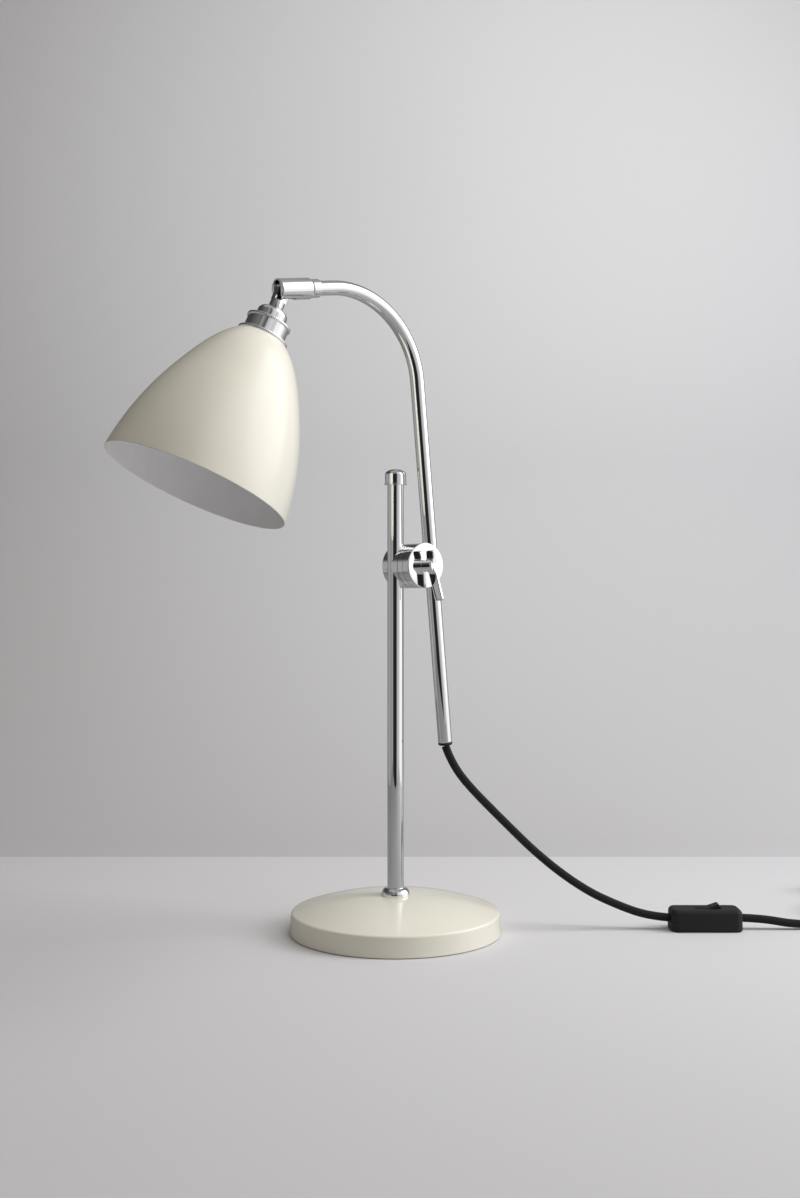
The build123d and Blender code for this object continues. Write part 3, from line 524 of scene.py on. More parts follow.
# paint: two tones, the gloss's roughness, the coat; metal: two tones, clean and smeared roughness, the lay;
# matt: two tones, roughness, the grain's scale, strength and depth, the specular level, the sheen
creamPaint = paintFinish("creamPaint", (0.755, 0.725, 0.632), (0.79, 0.763, 0.675), (0.34, 0.42), 0.6)
whiteEnamel = paintFinish("whiteEnamel", (0.88, 0.88, 0.885), (0.92, 0.92, 0.925), (0.36, 0.46), 0.1)
chrome = metalFinish("chromePlate", (0.87, 0.875, 0.885), (0.92, 0.925, 0.932), 0.02, 0.06)
satinChrome = metalFinish("satinChrome", (0.70, 0.705, 0.715), (0.76, 0.765, 0.775), 0.10, 0.20, 0.03)
plainSteel = metalFinish("plainSteel", (0.50, 0.50, 0.51), (0.58, 0.58, 0.59), 0.26, 0.42, 0.12)
castIron = metalFinish("castIron", (0.10, 0.10, 0.105), (0.16, 0.16, 0.165), 0.55, 0.75, 0.5)
brass = metalFinish("brass", (0.62, 0.45, 0.20), (0.74, 0.56, 0.29), 0.18, 0.34, 0.05)
blackPlastic = mattFinish("blackPlastic", (0.017, 0.017, 0.018), (0.023, 0.0225, 0.024), (0.45, 0.58),
                          1500.0, 0.12, 0.0002, 0.22)
blackRubber = mattFinish("blackRubber", (0.012, 0.012, 0.012), (0.018, 0.018, 0.018), (0.55, 0.7),
                         1800.0, 0.15, 0.0002, 0.35)
darkFibre = mattFinish("darkFibre", (0.035, 0.032, 0.030), (0.060, 0.055, 0.050), (0.7, 0.85),
                       2200.0, 0.35, 0.0002, 0.3)
darkFelt = mattFinish("darkFelt", (0.030, 0.036, 0.031), (0.055, 0.062, 0.055), (0.85, 0.95),
                      1700.0, 0.8, 0.0005, 0.2, 0.25)
flexBraid = braidFinish("flexBraid")
print("finishes made")

# a piece stands for a solid, rides where it rides and takes its finish
bodyOf = {solid: body for body, solids in frame["record"]["behaviour"]["bodies"].items() for solid in solids}
sharpAngles = {"made": 35.0, "copied": 28.0, "wingNut": 40.0, "braid": 60.0}


def dress(name, mesh, finish, solid, sharpAngle=sharpAngles["made"], inside=()):
    piece = standPiece(name, mesh, [finish, *inside], sharpAngle)
    rubEdges(mesh)
    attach(piece, bodyOf[solid])
    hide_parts(solid)
    return piece


# the same for a piece that is turned from a section
def dressTurned(name, line, finish, solid, inside=(), **shape):
    return dress(name, turnedMesh(name, line, **shape), finish, solid, inside=inside)


# pieces with their solids' own forms, each normal weighted by its faces so that flats reflect as flats
def copyForms(forms):
    for name, (solid, finish) in forms.items():
        piece = dress(name, mergedCopy(solid), finish, solid, sharpAngles["copied"])
        piece.modifiers.new("evenShading", "WEIGHTED_NORMAL").keep_sharp = True


# the flex: route points (along, across, height) in millimetres, as control points of one smooth line
flex = {"diameter": 7.0, "heading": -38.0, "columns": 40, "relief": 0.07, "yarns": 12, "rise": 4.2,
        "mouth": (40.3801, -17.9, 156.624), "breaks": (60.0, 147.0), "smoothness": 64, "leastStep": 1e-4,
        "hanging": [(46.6, 10.3, 145.8), (58.9, 10.1, 126.4), (89.5, 9.7, 95.2), (126.1, 9.0, 59.6),
                    (162.0, 8.2, 33.6), (191.0, 7.6, 20.2), (216.0, 7.1, 11.6), (234.2, 6.9, 10.1)],
        "leadOut": [(295.8, 6.9, 9.8), (314.0, 7.0, 9.2), (342.0, 6.3, 4.3), (376.0, 8.5, 4.1),
                    (403.0, 9.1, 4.1), (424.0, 9.1, 4.1)]}
ahead = np.array([np.cos(radians(flex["heading"])), np.sin(radians(flex["heading"])), 0.0])
leftward = np.array([-ahead[1], ahead[0], 0.0])


# rows of (along, across, height) as places beside the flex's heading
def flexPlaces(rows):
    rows = np.array(rows, float)
    return rows[..., :1] * ahead + rows[..., 1:2] * leftward + rows[..., 2:] * upward


# the smooth line of a route: a spline of degree two with the route's points as its control points
def smoothRoute(name, points, smoothness):
    curve = bpy.data.curves.new(name, "CURVE")
    curve.dimensions = "3D"
    curve.resolution_u = smoothness
    spline = curve.splines.new("NURBS")
    spline.points.add(len(points) - 1)
    spline.points.foreach_set("co", np.column_stack([points * mm, np.ones(len(points))]).ravel())
    spline.order_u = 3
    spline.use_endpoint_u = True
    holder = bpy.data.objects.new(name, curve)
    scene.collection.objects.link(holder)
    bpy.context.view_layer.update()
    mesh = bpy.data.meshes.new_from_object(holder)
    line = readAll(mesh.vertices, "co", 3) / mm
    bpy.data.objects.remove(holder)
    bpy.data.meshes.remove(mesh)
    bpy.data.curves.remove(curve)
    return thinned(line, flex["leastStep"])


# a braided tube: a circle square to its line, the radius lifted where yarns cross, ends closed to a point
def braidMesh(name, line, guide, columns, start=0.0):
    length = runOf(line)
    tangent = unit(np.gradient(line, length, axis=0))
    first = unit(guide - tangent * (tangent @ guide)[:, None])
    length = length + start
    angle = np.arange(columns) * 2 * np.pi / columns
    around = angle[None] / (2 * np.pi) * flex["yarns"]
    rise = length[:, None] / flex["rise"]
    pillows = np.sin(np.pi * ((around + rise) % 1.0)) * np.sin(np.pi * ((around - rise) % 1.0))
    reach = flex["diameter"] / 2 - flex["relief"] * (1 - pillows)
    rings = circleRings(line, first, np.cross(tangent, first), reach, angle)
    return ringSkin(name, rings, (line[0], line[-1]), travel=length)


# the hanging flex in three lengths, each listed with two bodies that nothing here reads: the lengths stay
# where they are made
hangRoute = np.concatenate([[flex["mouth"]], flexPlaces(flex["hanging"])])
hangLine = smoothRoute("hangRoute", hangRoute, flex["smoothness"])
hangRun = runOf(hangLine)
firstBreak, secondBreak = np.searchsorted(hangRun, flex["breaks"])
hangLengths = {"flexAtMouth": (0, firstBreak, "arm_bush", "arm_holder"),
               "flexMiddle": (firstBreak, secondBreak, "arm_holder", "clamp"),
               "flexToSwitch": (secondBreak, len(hangLine) - 1, "clamp", "post")}
for name, (begin, end, upper, lower) in hangLengths.items():
    stretch = hangLine[begin: end + 1]
    mesh = braidMesh(name, stretch, leftward, flex["columns"], hangRun[begin])
    piece = standPiece(name, mesh, [flexBraid], sharpAngles["braid"])
    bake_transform(piece)
    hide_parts("cord_hanging")
print("hanging flex", round(hangRun[-1], 1), "mm in", len(hangLengths), "lengths")

# the switch's case: rounded oblongs stacked up a section of (inset, height)
case = {"along": 265.0, "across": 6.9, "length": 61.0, "width": 26.0, "parting": 7.4, "height": 18.6,
        "turnIn": 6.0, "cornerRound": 6.5, "leastRound": 0.6, "edgeRound": 3.6, "footRound": 1.6,
        "seamRound": 0.4, "draft": 0.5, "edgeSteps": 12}
# the rocker's well: the cover's last oblongs, rounded over its rim and running down inside
well = {"length": 21.6, "width": 10.2, "round": 0.9, "shift": 2.5, "depth": 7.0, "flare": 0.8, "dip": 0.4,
        "guard": 0.3, "rimRows": 5}


# rows of (length, width, corner round, shift along, height) as rings of corner arcs, closed at both ends
def stackedOblongs(name, rows, steps=10):
    length, width, ease, shift, height = [rows[:, k: k + 1] for k in range(5)]
    side, angle = cornerArcs(steps)
    x = case["along"] + shift + side[:, 0] * (length / 2 - ease) + ease * np.cos(angle)
    y = case["across"] + side[:, 1] * (width / 2 - ease) + ease * np.sin(angle)
    rings = flexPlaces(np.stack([x, y, height + np.zeros_like(x)], -1))
    ends = flexPlaces([(case["along"] + shift[k, 0], case["across"], height[k, 0]) for k in (0, -1)])
    return ringSkin(name, rings, ends)


# a case's section as oblongs: each inset takes twice itself off both sides and itself off the corners
def caseRows(section):
    inset, height = guarded(section, False).T
    corner = np.maximum(case["cornerRound"] - inset, case["leastRound"])
    return np.column_stack([case["length"] - 2 * inset, case["width"] - 2 * inset, corner, 0 * inset, height])


seam = (0, case["parting"], case["seamRound"])
lowerSection = easedSection([(case["turnIn"], 0), (0, 0, case["footRound"]), seam,
                             (case["turnIn"], case["parting"])], False)
upperSection = easedSection([(case["turnIn"], case["parting"]), seam,
                             (case["draft"], case["height"], case["edgeRound"]),
                             (case["turnIn"], case["height"])], False, case["edgeSteps"])
rimTurn = np.linspace(0, np.pi / 2, well["rimRows"])
wellSide = [well["dip"] + well["guard"], well["depth"] - well["guard"], well["depth"]]
wellDrop = np.concatenate([well["dip"] * (1 - np.cos(rimTurn)), wellSide])
wellFlare = np.concatenate([well["flare"] * (1 - np.sin(rimTurn)), np.zeros(len(wellSide))])
wellRows = np.column_stack([well["length"] + wellFlare, well["width"] + wellFlare,
                            np.full(len(wellDrop), well["round"]), np.full(len(wellDrop), well["shift"]),
                            case["height"] - wellDrop])
dress("switchBase", stackedOblongs("switchBase", caseRows(lowerSection)), blackPlastic, "switch_base")
coverRows = np.concatenate([caseRows(upperSection), wellRows])
dress("switchCover", stackedOblongs("switchCover", coverRows), blackPlastic, "switch_cover")
print("switch case made")

# the plug, the tie and the rocker: the solids' own forms
flexForms = {"plugBody": ("plug_body", blackPlastic), "plugBoot": ("plug_boot", blackRubber),
             "plugPinNear": ("plug_pin_near", brass), "plugPinFar": ("plug_pin_far", brass),
             "coilTie": ("coil_tie", blackPlastic), "switchRocker": ("switch_rocker", blackPlastic)}
copyForms(flexForms)

# the put-away length: on from the switch, then a coil whose turns run in, climb half a turn and run out again
coil = {"along": 431.0, "across": 60.28, "turns": 5.35556, "middleRadius": 41.0, "spread": 20.35,
        "pitch": 7.6, "layer": 7.5, "climb": 0.5, "floor": 4.1, "points": 76, "endRun": 21.0,
        "endShares": (0.45, 1.0), "smoothness": 24, "columns": 24}
coilTurn = np.linspace(0, coil["turns"], coil["points"])
middleTurn = coil["turns"] / 2
inward = coil["pitch"] * (middleTurn - np.abs(coilTurn - middleTurn))
coilRadius = coil["middleRadius"] + coil["spread"] / 2 - inward
climb = np.clip((coilTurn - middleTurn) / coil["climb"] + 0.5, 0, 1)
coilAngle = radians(flex["heading"] - 90) + 2 * np.pi * coilTurn
coilRise = coil["layer"] * (1 - np.cos(np.pi * climb)) / 2
coilPoints = flexPlaces((coil["along"], coil["across"], coil["floor"])) + np.column_stack(
    [coilRadius * np.cos(coilAngle), coilRadius * np.sin(coilAngle), coilRise])
coilEnd = coilPoints[-1] + np.outer(coil["endShares"], coil["endRun"] * sideward)
putAwayRoute = np.concatenate([flexPlaces(flex["leadOut"]), coilPoints, coilEnd])
putAwayLine = smoothRoute("putAwayRoute", putAwayRoute, coil["smoothness"])
putAwayMesh = braidMesh("flexPutAway", putAwayLine, upward, coil["columns"])
putAway = standPiece("flexPutAway", putAwayMesh, [flexBraid], sharpAngles["braid"])
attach(putAway, "post")
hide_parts("cord_lead_out", "cord_coil")

# the post: a thin tube with eased rims, and the bore of what stands round it
post = {"radius": 7.0, "wall": 1.2, "foot": 20.0, "top": 389.0, "ease": 0.3, "clearance": 0.06}
postBore = post["radius"] + post["clearance"]

# the base shell: a low dome down to an eased lip, a side that leans out, and the same line again one wall in
base = {"rim": (90.0, 0.4), "lip": (88.6, 17.6), "lipRound": 2.2, "crown": (14.0, 31.0), "bulge": 3.2,
        "wall": 2.0, "holeRound": 0.3, "rimRound": 0.6, "innerRound": 1.2, "rows": 31, "columns": 224}
domeOut = bulgeArc(base["crown"], base["lip"], base["bulge"], base["rows"])
domeIn = bulgeArc(np.subtract(base["lip"], base["wall"]), np.subtract(base["crown"], (0, base["wall"])),
                  -base["bulge"], base["rows"])
baseLine = easedSection([(postBore, base["crown"][1], base["holeRound"]), *domeOut[:-1],
                         (*base["lip"], base["lipRound"]), (*base["rim"], base["rimRound"]),
                         (base["rim"][0] - base["wall"], base["rim"][1], base["rimRound"]),
                         (*domeIn[0], base["innerRound"]), *domeIn[1:],
                         (postBore, base["crown"][1] - base["wall"])])
dressTurned("baseShell", baseLine, creamPaint, "base_cover", columns=base["columns"])

# the collar at the post's foot: a short band under a rounded shoulder
collar = {"foot": base["crown"][1], "band": (12.0, 32.6), "top": (8.3, 37.5), "bulge": 0.817,
          "footRound": 0.25, "topRound": 0.3, "rows": 13}
shoulder = bulgeArc(collar["band"], collar["top"], -collar["bulge"], collar["rows"])
collarLine = easedSection([(postBore, collar["foot"]),
                           (collar["band"][0], collar["foot"], collar["footRound"]), *shoulder[:-1],
                           (*collar["top"], collar["topRound"]), (postBore, collar["top"][1])])
dressTurned("footCollar", collarLine, chrome, "post_collar")

# the post's section: up its outside and down its inside
postInside = post["radius"] - post["wall"]
postLine = easedSection([(radius, post[end], post["ease"]) for radius, end in (
    (post["radius"], "foot"), (post["radius"], "top"), (postInside, "top"), (postInside, "foot"))])
dressTurned("postTube", postLine, chrome, "post_tube")

# the post's cap: a bore and a lip, then a shoulder's arc that runs on into the crown's arc
cap = {"headroom": 0.2, "foot": 379.6, "lip": 9.5, "lipHeight": 1.4, "boreRound": 0.2, "footRound": 0.3,
       "lipRound": 0.35, "side": 9.1, "top": 393.6, "crownRound": 14.0, "shoulderRound": 3.5,
       "shoulderRows": 10, "crownRows": 14}
capInset = cap["side"] - cap["shoulderRound"]
capRise = np.sqrt((cap["crownRound"] - cap["shoulderRound"]) ** 2 - capInset ** 2)
capMiddle = cap["top"] - cap["crownRound"]
capSlope = np.degrees(np.arctan2(capRise, capInset))
capRoof, lipTop = post["top"] + cap["headroom"], cap["foot"] + cap["lipHeight"]
capLine = np.concatenate([
    easedSection([(0, capRoof), (postBore, capRoof), (postBore, cap["foot"], cap["boreRound"]),
                  (cap["lip"], cap["foot"], cap["footRound"]), (cap["lip"], lipTop, cap["lipRound"]),
                  (cap["side"], lipTop)], False),
    roundArc((capInset, capMiddle + capRise), cap["shoulderRound"], 0, capSlope, cap["shoulderRows"]),
    roundArc((0, capMiddle), cap["crownRound"], capSlope, 90, cap["crownRows"])[1:]])
capLine[-1, 0] = 0.0
dressTurned("postCap", capLine, chrome, "post_cap", closed=False)
print("base, collar, post and cap made")

# the wing nut: a turned boss, and wings of rounded oblong section that run out and lean away from the clamp
nut = {"bolt": (12.4, -25.8, 311.0), "turn": -11.0, "seat": 0.06, "bossRadius": 5.25, "bossLength": 12.0,
       "dome": 1.2, "footRound": 0.4, "bore": 3.1, "roof": 1.0, "columns": 64}
wing = {"reaches": (13.0, -30.0), "thickness": 2.7, "width": 9.4, "standOff": 2.6, "flare": 7.5,
        "cornerRound": 2.2, "cornerSteps": 6, "edgeRound": 0.7, "root": (2.0, 9.0), "rootRows": 15,
        "blade": 9.4, "bladeRows": 8, "tipFrom": 0.1, "tipRows": 12, "tipKeep": 0.999, "fillet": 1.1,
        "filletInset": 0.3, "filletReach": 0.9, "filletFall": 1.4}


# one wing: half its thickness and half its width less the edge's round, then the round itself; both draw in
# as quarter circles at the tip, and the thickness grows towards the boss by a falling exponential
def wingRings(reach):
    length, ease, corner = abs(reach), wing["edgeRound"], wing["cornerRound"]
    tipTurn = np.linspace(wing["tipFrom"], 1, wing["tipRows"]) * np.pi / 2
    run = np.concatenate([np.linspace(*wing["root"], wing["rootRows"]),
                          np.linspace(wing["blade"], length - corner, wing["bladeRows"]),
                          length - corner * (1 - np.sin(tipTurn))])
    tip = np.clip(run - length + corner, 0, corner)
    thin = np.clip(run - length + ease, 0, ease)
    halfWide = wing["width"] / 2 - corner + np.sqrt(corner ** 2 - tip ** 2)
    halfThick = wing["thickness"] / 2 - ease + np.sqrt(ease ** 2 - thin ** 2) * wing["tipKeep"]
    fromBoss = np.maximum(run - nut["bossRadius"] + wing["filletInset"], 0) / wing["filletReach"]
    halfThick = halfThick + wing["fillet"] * np.exp(-fromBoss ** wing["filletFall"])
    side, angle = cornerArcs(wing["cornerSteps"])
    x = side[:, 0] * (halfThick[:, None] - ease) + ease * np.cos(angle)
    y = side[:, 1] * (halfWide[:, None] - ease) + ease * np.sin(angle)
    y = y - wing["standOff"] - wing["width"] / 2 - run[:, None] * np.tan(radians(wing["flare"]))
    return np.stack([x, y, np.sign(reach) * run[:, None] + np.zeros_like(x)], -1)


bossRoof = nut["bossLength"] - nut["roof"]
bossLine = easedSection([(0, bossRoof), (nut["bore"], bossRoof), (nut["bore"], nut["seat"]),
                         (nut["bossRadius"], nut["seat"], nut["footRound"]),
                         (nut["bossRadius"], nut["bossLength"], nut["dome"]), (0, nut["bossLength"])], False)
nutMesh = turnedMesh("wingNut", bossLine, axis=(0, -1, 0), columns=nut["columns"], closed=False)
joined = bmesh.new()
joined.from_mesh(nutMesh)
for reach in wing["reaches"]:
    rings = wingRings(reach)
    blade = ringSkin("wing", rings, (rings[0].mean(0), rings[-1].mean(0)))
    joined.from_mesh(blade)
    bpy.data.meshes.remove(blade)
joined.to_mesh(nutMesh)
joined.free()
nutCos, nutSin = np.cos(radians(nut["turn"])), np.sin(radians(nut["turn"]))
turnRows = np.array([[nutCos, 0, nutSin], [0, 1, 0], [-nutSin, 0, nutCos]])
nutPoints = readAll(nutMesh.vertices, "co", 3) @ turnRows.T + np.array(nut["bolt"]) * mm
nutMesh.vertices.foreach_set("co", nutPoints.astype(np.float32).ravel())
nutMesh.update()
dress("wingNut", nutMesh, chrome, "wing_nut", sharpAngles["wingNut"])

# the arm: a tube's circle carried up a leaning straight run, round one bend and out along a dipping end run
arm = {"foot": (40.04, -17.9, 160.007), "lean": 5.74, "dip": 9.5, "straight": 308.0, "bendRadius": 75.4,
       "endRun": 31.7, "radius": 6.0, "wall": 1.0, "rows": 90, "columns": 96, "rimRuns": (0, 0.1, 0.3, 0.7),
       "rimEases": (0.3, 0.1, 0, 0)}
armTurn = radians(90 - arm["lean"] + arm["dip"])
bendEnd = arm["straight"] + arm["bendRadius"] * armTurn


# a unit way in the arm's plane, by degrees from upright
def leaning(angle):
    return np.array([-np.sin(radians(angle)), 0, np.cos(radians(angle))])


armUp, armSide, armOut = [leaning(angle) for angle in (arm["lean"], arm["lean"] + 90, arm["dip"] + 90)]


# places and headings along the arm by distance from its foot
def armPlaces(run):
    turn = np.clip((run - arm["straight"]) / arm["bendRadius"], 0, armTurn)[:, None]
    place = np.array(arm["foot"]) + np.minimum(run, arm["straight"])[:, None] * armUp
    place = place + arm["bendRadius"] * (np.sin(turn) * armUp + (1 - np.cos(turn)) * armSide)
    place = place + np.maximum(run - bendEnd, 0)[:, None] * armOut
    return place, np.cos(turn) * armUp + np.sin(turn) * armSide


rimRun = np.array(arm["rimRuns"])
armRun = np.concatenate([rimRun, np.linspace(arm["straight"], bendEnd, arm["rows"]),
                         bendEnd + arm["endRun"] - rimRun[::-1]])
armEase = np.concatenate([arm["rimEases"], np.zeros(arm["rows"]), arm["rimEases"][::-1]])
armRadii = np.concatenate([arm["radius"] - armEase, arm["radius"] - arm["wall"] + armEase[::-1]])
armMiddles, armHeadings = armPlaces(np.concatenate([armRun, armRun[::-1]]))
armSpokes = np.zeros_like(armHeadings) + sideward
armMesh = wrappedMesh("armTube", armMiddles, armSpokes, np.cross(armHeadings, armSpokes), armRadii,
                      arm["columns"], True)
dress("armTube", armMesh, chrome, "arm_tube")

# the ferrule near the arm's end: a plain sleeve with eased ends
ferrule = {"bore": 6.05, "radius": 7.5, "length": 7.9, "from": 14.8, "ease": 0.7}
ferruleFoot = armPlaces(np.array([bendEnd + ferrule["from"]]))[0][0]
ferruleLine = easedSection([(ferrule["bore"], 0), (ferrule["radius"], 0, ferrule["ease"]),
                            (ferrule["radius"], ferrule["length"], ferrule["ease"]),
                            (ferrule["bore"], ferrule["length"])])
dressTurned("armFerrule", ferruleLine, chrome, "arm_ferrule", origin=ferruleFoot, axis=armOut)

# the flex inside the arm: the bend's corner cut into three by its tangents, as control points
armFlex = {"points": [(40.28, -17.9, 157.62), (11.344, -17.9, 445.475), (7.13, -17.9, 487.45),
                      (-18.25, -17.9, 521.14), (-57.43, -17.9, 536.77), (-99.03, -17.9, 529.81),
                      (-109.40, -17.9, 528.07)], "columns": 16}
armFlexLine = smoothRoute("armFlexRoute", np.array(armFlex["points"]), flex["smoothness"])
armFlexMesh = braidMesh("flexInArm", armFlexLine, sideward, armFlex["columns"])
dress("flexInArm", armFlexMesh, flexBraid, "arm_lead", sharpAngles["braid"])
print("wing nut, arm and its flex made")

# the head's turned pieces share one axis, with heights measured down from the pivot
head = {"origin": (-124.784, -17.9, 525.498), "axis": (-0.40749, 0.08716, -0.90904)}
# the lampholder's cup: a rounded top and a straight side
cup = {"radius": 12.2, "round": 4.5, "roundSteps": 12, "from": 18.7, "to": 29.0, "footRound": 0.2,
       "bore": 4.8}
cupLine = easedSection([(cup["bore"], cup["from"]), (cup["radius"], cup["from"], cup["round"]),
                        (cup["radius"], cup["to"], cup["footRound"]), (cup["bore"], cup["to"])],
                       steps=cup["roundSteps"])
dressTurned("holderCup", cupLine, chrome, "holder_cup", **head)


# a beaded edge: rows that reach past the body's radius dip between the beads by the square of a raised cosine
bead = {"depth": 0.16, "past": 0.05, "columns": 6}


def beaded(edge, count):
    def dip(rows, angle):
        return -bead["depth"] * (rows[:, :1] - edge > bead["past"]) * (0.5 - 0.5 * np.cos(count * angle)) ** 2
    return dip


# the skirt under the cup: a beaded lip over a straight side, hollow from below
skirt = {"lip": 18.0, "lipRound": 0.75, "from": cup["to"], "lipTo": 31.3, "radius": 16.9, "to": 41.7,
         "rimRound": 0.3, "bore": 15.3, "ceiling": 32.5, "hole": cup["bore"], "beads": 76}
skirtLine = easedSection([(skirt["hole"], skirt["from"]), (skirt["lip"], skirt["from"], skirt["lipRound"]),
                          (skirt["lip"], skirt["lipTo"], skirt["lipRound"]),
                          (skirt["radius"], skirt["lipTo"]),
                          (skirt["radius"], skirt["to"], skirt["rimRound"]),
                          (skirt["bore"], skirt["to"], skirt["rimRound"]),
                          (skirt["bore"], skirt["ceiling"]), (skirt["hole"], skirt["ceiling"])])
dressTurned("holderSkirt", skirtLine, chrome, "holder_skirt", columns=bead["columns"] * skirt["beads"],
            relief=beaded(skirt["radius"], skirt["beads"]), **head)

# the ring on the shade: a flat band with a rounded, beaded edge
ring = {"radius": 20.5, "round": 0.8, "from": skirt["to"], "to": 44.0, "bore": skirt["bore"], "beads": 86,
        "beadBand": 1.2}
ringLine = easedSection([(ring["bore"], ring["from"]), (ring["radius"], ring["from"], ring["round"]),
                         (ring["radius"], ring["to"], ring["round"]), (ring["bore"], ring["to"])])
dressTurned("shadeRing", ringLine, chrome, "shade_ring", columns=bead["columns"] * ring["beads"],
            relief=beaded(ring["radius"] - ring["beadBand"], ring["beads"]), **head)

# the shade: a cubic from the neck's shoulder to the waist, a shallow arc on to the mouth, and the same line
# again one wall in; faces that look towards the axis are the white inside
shade = {"neck": (19.8, ring["to"]), "waist": (51.7, 91.5), "mouth": (74.0, 172.9), "shoulderAngle": 52.0,
         "waistAngle": 25.3, "bulge": 3.7, "wall": 1.0, "rimRound": 0.42, "rimSteps": 6, "hole": 15.6,
         "upperRows": 26, "lowerRows": 34, "columns": 256}
neck, waist = np.array(shade["neck"]), np.array(shade["waist"])
leave, arrive = [np.linalg.norm(waist - neck) * np.array([np.sin(radians(slant)), np.cos(radians(slant))])
                 for slant in (shade["shoulderAngle"], shade["waistAngle"])]
t = np.linspace(0, 1, shade["upperRows"])[:, None]
upperCurve = ((2 * t ** 3 - 3 * t ** 2 + 1) * neck + (t ** 3 - 2 * t ** 2 + t) * leave
              + (3 * t ** 2 - 2 * t ** 3) * waist + (t ** 3 - t ** 2) * arrive)
lowerCurve = bulgeArc(shade["waist"], shade["mouth"], -shade["bulge"], shade["lowerRows"])
shadeOut = np.concatenate([upperCurve, lowerCurve[1:]])
slope = unit(np.gradient(shadeOut, axis=0))
shadeIn = (shadeOut - shade["wall"] * np.column_stack([slope[:, 1], -slope[:, 0]]))[::-1]
shadeIn[0, 1] = shade["mouth"][1]
rounds = np.zeros(len(shadeOut))
rounds[-1] = shade["rimRound"]
shadeLine = easedSection([(shade["hole"], shade["neck"][1]), *np.column_stack([shadeOut, rounds]),
                          *np.column_stack([shadeIn, rounds[::-1]]),
                          (shade["hole"], shade["neck"][1] + shade["wall"])], steps=shade["rimSteps"])
shadePiece = dressTurned("shadeCone", shadeLine, creamPaint, "shade", [whiteEnamel],
                         columns=shade["columns"], **head)
shadeFaces = shadePiece.data.polygons
fromAxis = readAll(shadeFaces, "center", 3) / mm - np.array(head["origin"])
fromAxis = fromAxis - np.outer(fromAxis @ np.array(head["axis"]), head["axis"])
inner = (readAll(shadeFaces, "normal", 3) * fromAxis).sum(1) < 0
shadeFaces.foreach_set("material_index", inner.astype(np.int32))

# the lampholder's screw shell: a thin tube whose wall follows a round thread, a sine of height and turn
shell = {"bore": 13.3, "wall": 0.3, "from": 56.0, "to": 78.5, "pitch": 3.6, "thread": 0.16, "rows": 84,
         "columns": 72}
shellDown = np.linspace(shell["from"], shell["to"], shell["rows"])
shellReach = shell["bore"] + shell["wall"] * np.repeat([0, 1], shell["rows"])
shellLine = np.column_stack([shellReach, np.concatenate([shellDown, shellDown[::-1]])])


def roundThread(rows, angle):
    return shell["thread"] * np.sin(2 * np.pi * rows[:, 1:] / shell["pitch"] - angle)


dressTurned("screwShell", shellLine, brass, "socket_shell", columns=shell["columns"], relief=roundThread,
            guard=False, **head)
print("head made")

# the clamp's, knuckle's and lampholder's other pieces: the solids' own forms
sameForm = {"postJawRear": ("post_jaw_rear", chrome), "postJawFront": ("post_jaw_front", chrome),
            "armJawInner": ("inner_jaw", chrome), "armJawOuter": ("outer_jaw", chrome),
            "clampBolt": ("clamp_bolt", chrome), "knuckleBarrel": ("knuckle_body", chrome),
            "headStem": ("head_stem", satinChrome), "pivotPin": ("pivot_pin", plainSteel),
            "frictionWasher": ("friction_washer", darkFibre), "shadeCarrier": ("shade_carrier", plainSteel),
            "lampInsert": ("lamp_insert", blackPlastic), "centreContact": ("centre_contact", brass),
            "footGrommet": ("cord_grommet", blackRubber)}
copyForms(sameForm)
print("clamp and knuckle made")

# solids that show as they are
finishOfNode = {"base_plate": plainSteel, "base_plate_screw_1": plainSteel, "base_plate_screw_2": plainSteel,
                "base_plate_screw_3": plainSteel, "post_stud": plainSteel, "post_washer": plainSteel,
                "post_lock_nut": plainSteel, "base_weight": castIron, "base_felt": darkFelt,
                "tongue_washer_near": darkFibre, "tongue_washer_far": darkFibre}
for name, finish in finishOfNode.items():
    cadNodes[name].data.materials.clear()
    cadNodes[name].data.materials.append(finish)
print("solids finished")


# a sheet of the stage: two points, left and right, for each distance behind the lamp and height, in metres
def stageSheet(name, finish, left, right, behind, height, glossy):
    sides = np.array([left, right])[None, :, None] * towardRight
    rows = sides - np.array(behind)[:, None, None] * towardCamera + np.array(height)[:, None, None] * upward
    mesh = putMesh(name, rows.reshape(-1, 3) / mm, gridQuads(len(behind), 2, False, False)[0])
    mesh.materials.append(finish)
    mesh.polygons.foreach_set("use_smooth", np.ones(len(mesh.polygons), dtype=bool))
    sheet = bpy.data.objects.new(name, mesh)
    scene.collection.objects.link(sheet)
    sheet.visible_glossy = glossy


# a painted pool of light: a tone that runs from one colour at a place to another at a distance from it
def paintedLightPool(tree, places, middle, reach, far, near):
    distance = maths(tree, "DISTANCE", places["Object"], tuple(middle), kind="ShaderNodeVectorMath")
    return mixed(tree, eased(tree, distance, *reach), near, far)


# the floor: a pale sheet with a painted pool of light, darker where metal mirrors it as a painted reflection,
# with four more round it that metal doesn't see
floor = {"half": 0.9, "front": 0.88, "far": 3.0, "pool": (-0.10, 0.25), "reach": (0.1, 0.95),
         "tones": ((0.52, 0.515, 0.535), (0.613, 0.606, 0.621)), "paintedReflection": (0.30, 0.30, 0.305),
         "roughness": 0.6, "specular": 0.25}
tableTop, tree, surface, places = newFinish("tableTop")
# the floor's tone is a painted pool of light: lighter near one place, darker further from it
floorLightMiddle = floor["pool"][0] * towardRight - floor["pool"][1] * towardCamera
floorPaintedLight = paintedLightPool(tree, places, floorLightMiddle, floor["reach"], *floor["tones"])
glossyRay = node(tree, "ShaderNodeLightPath").outputs["Is Glossy Ray"]
# rays that metal mirrors see the floor in a darker painted reflection tone
feed(tree, surface["Base Color"], mixed(tree, glossyRay, floorPaintedLight, floor["paintedReflection"]))
surface["Roughness"].default_value = floor["roughness"]
surface["Specular IOR Level"].default_value = floor["specular"]
half, front, far = floor["half"], floor["front"], floor["far"]
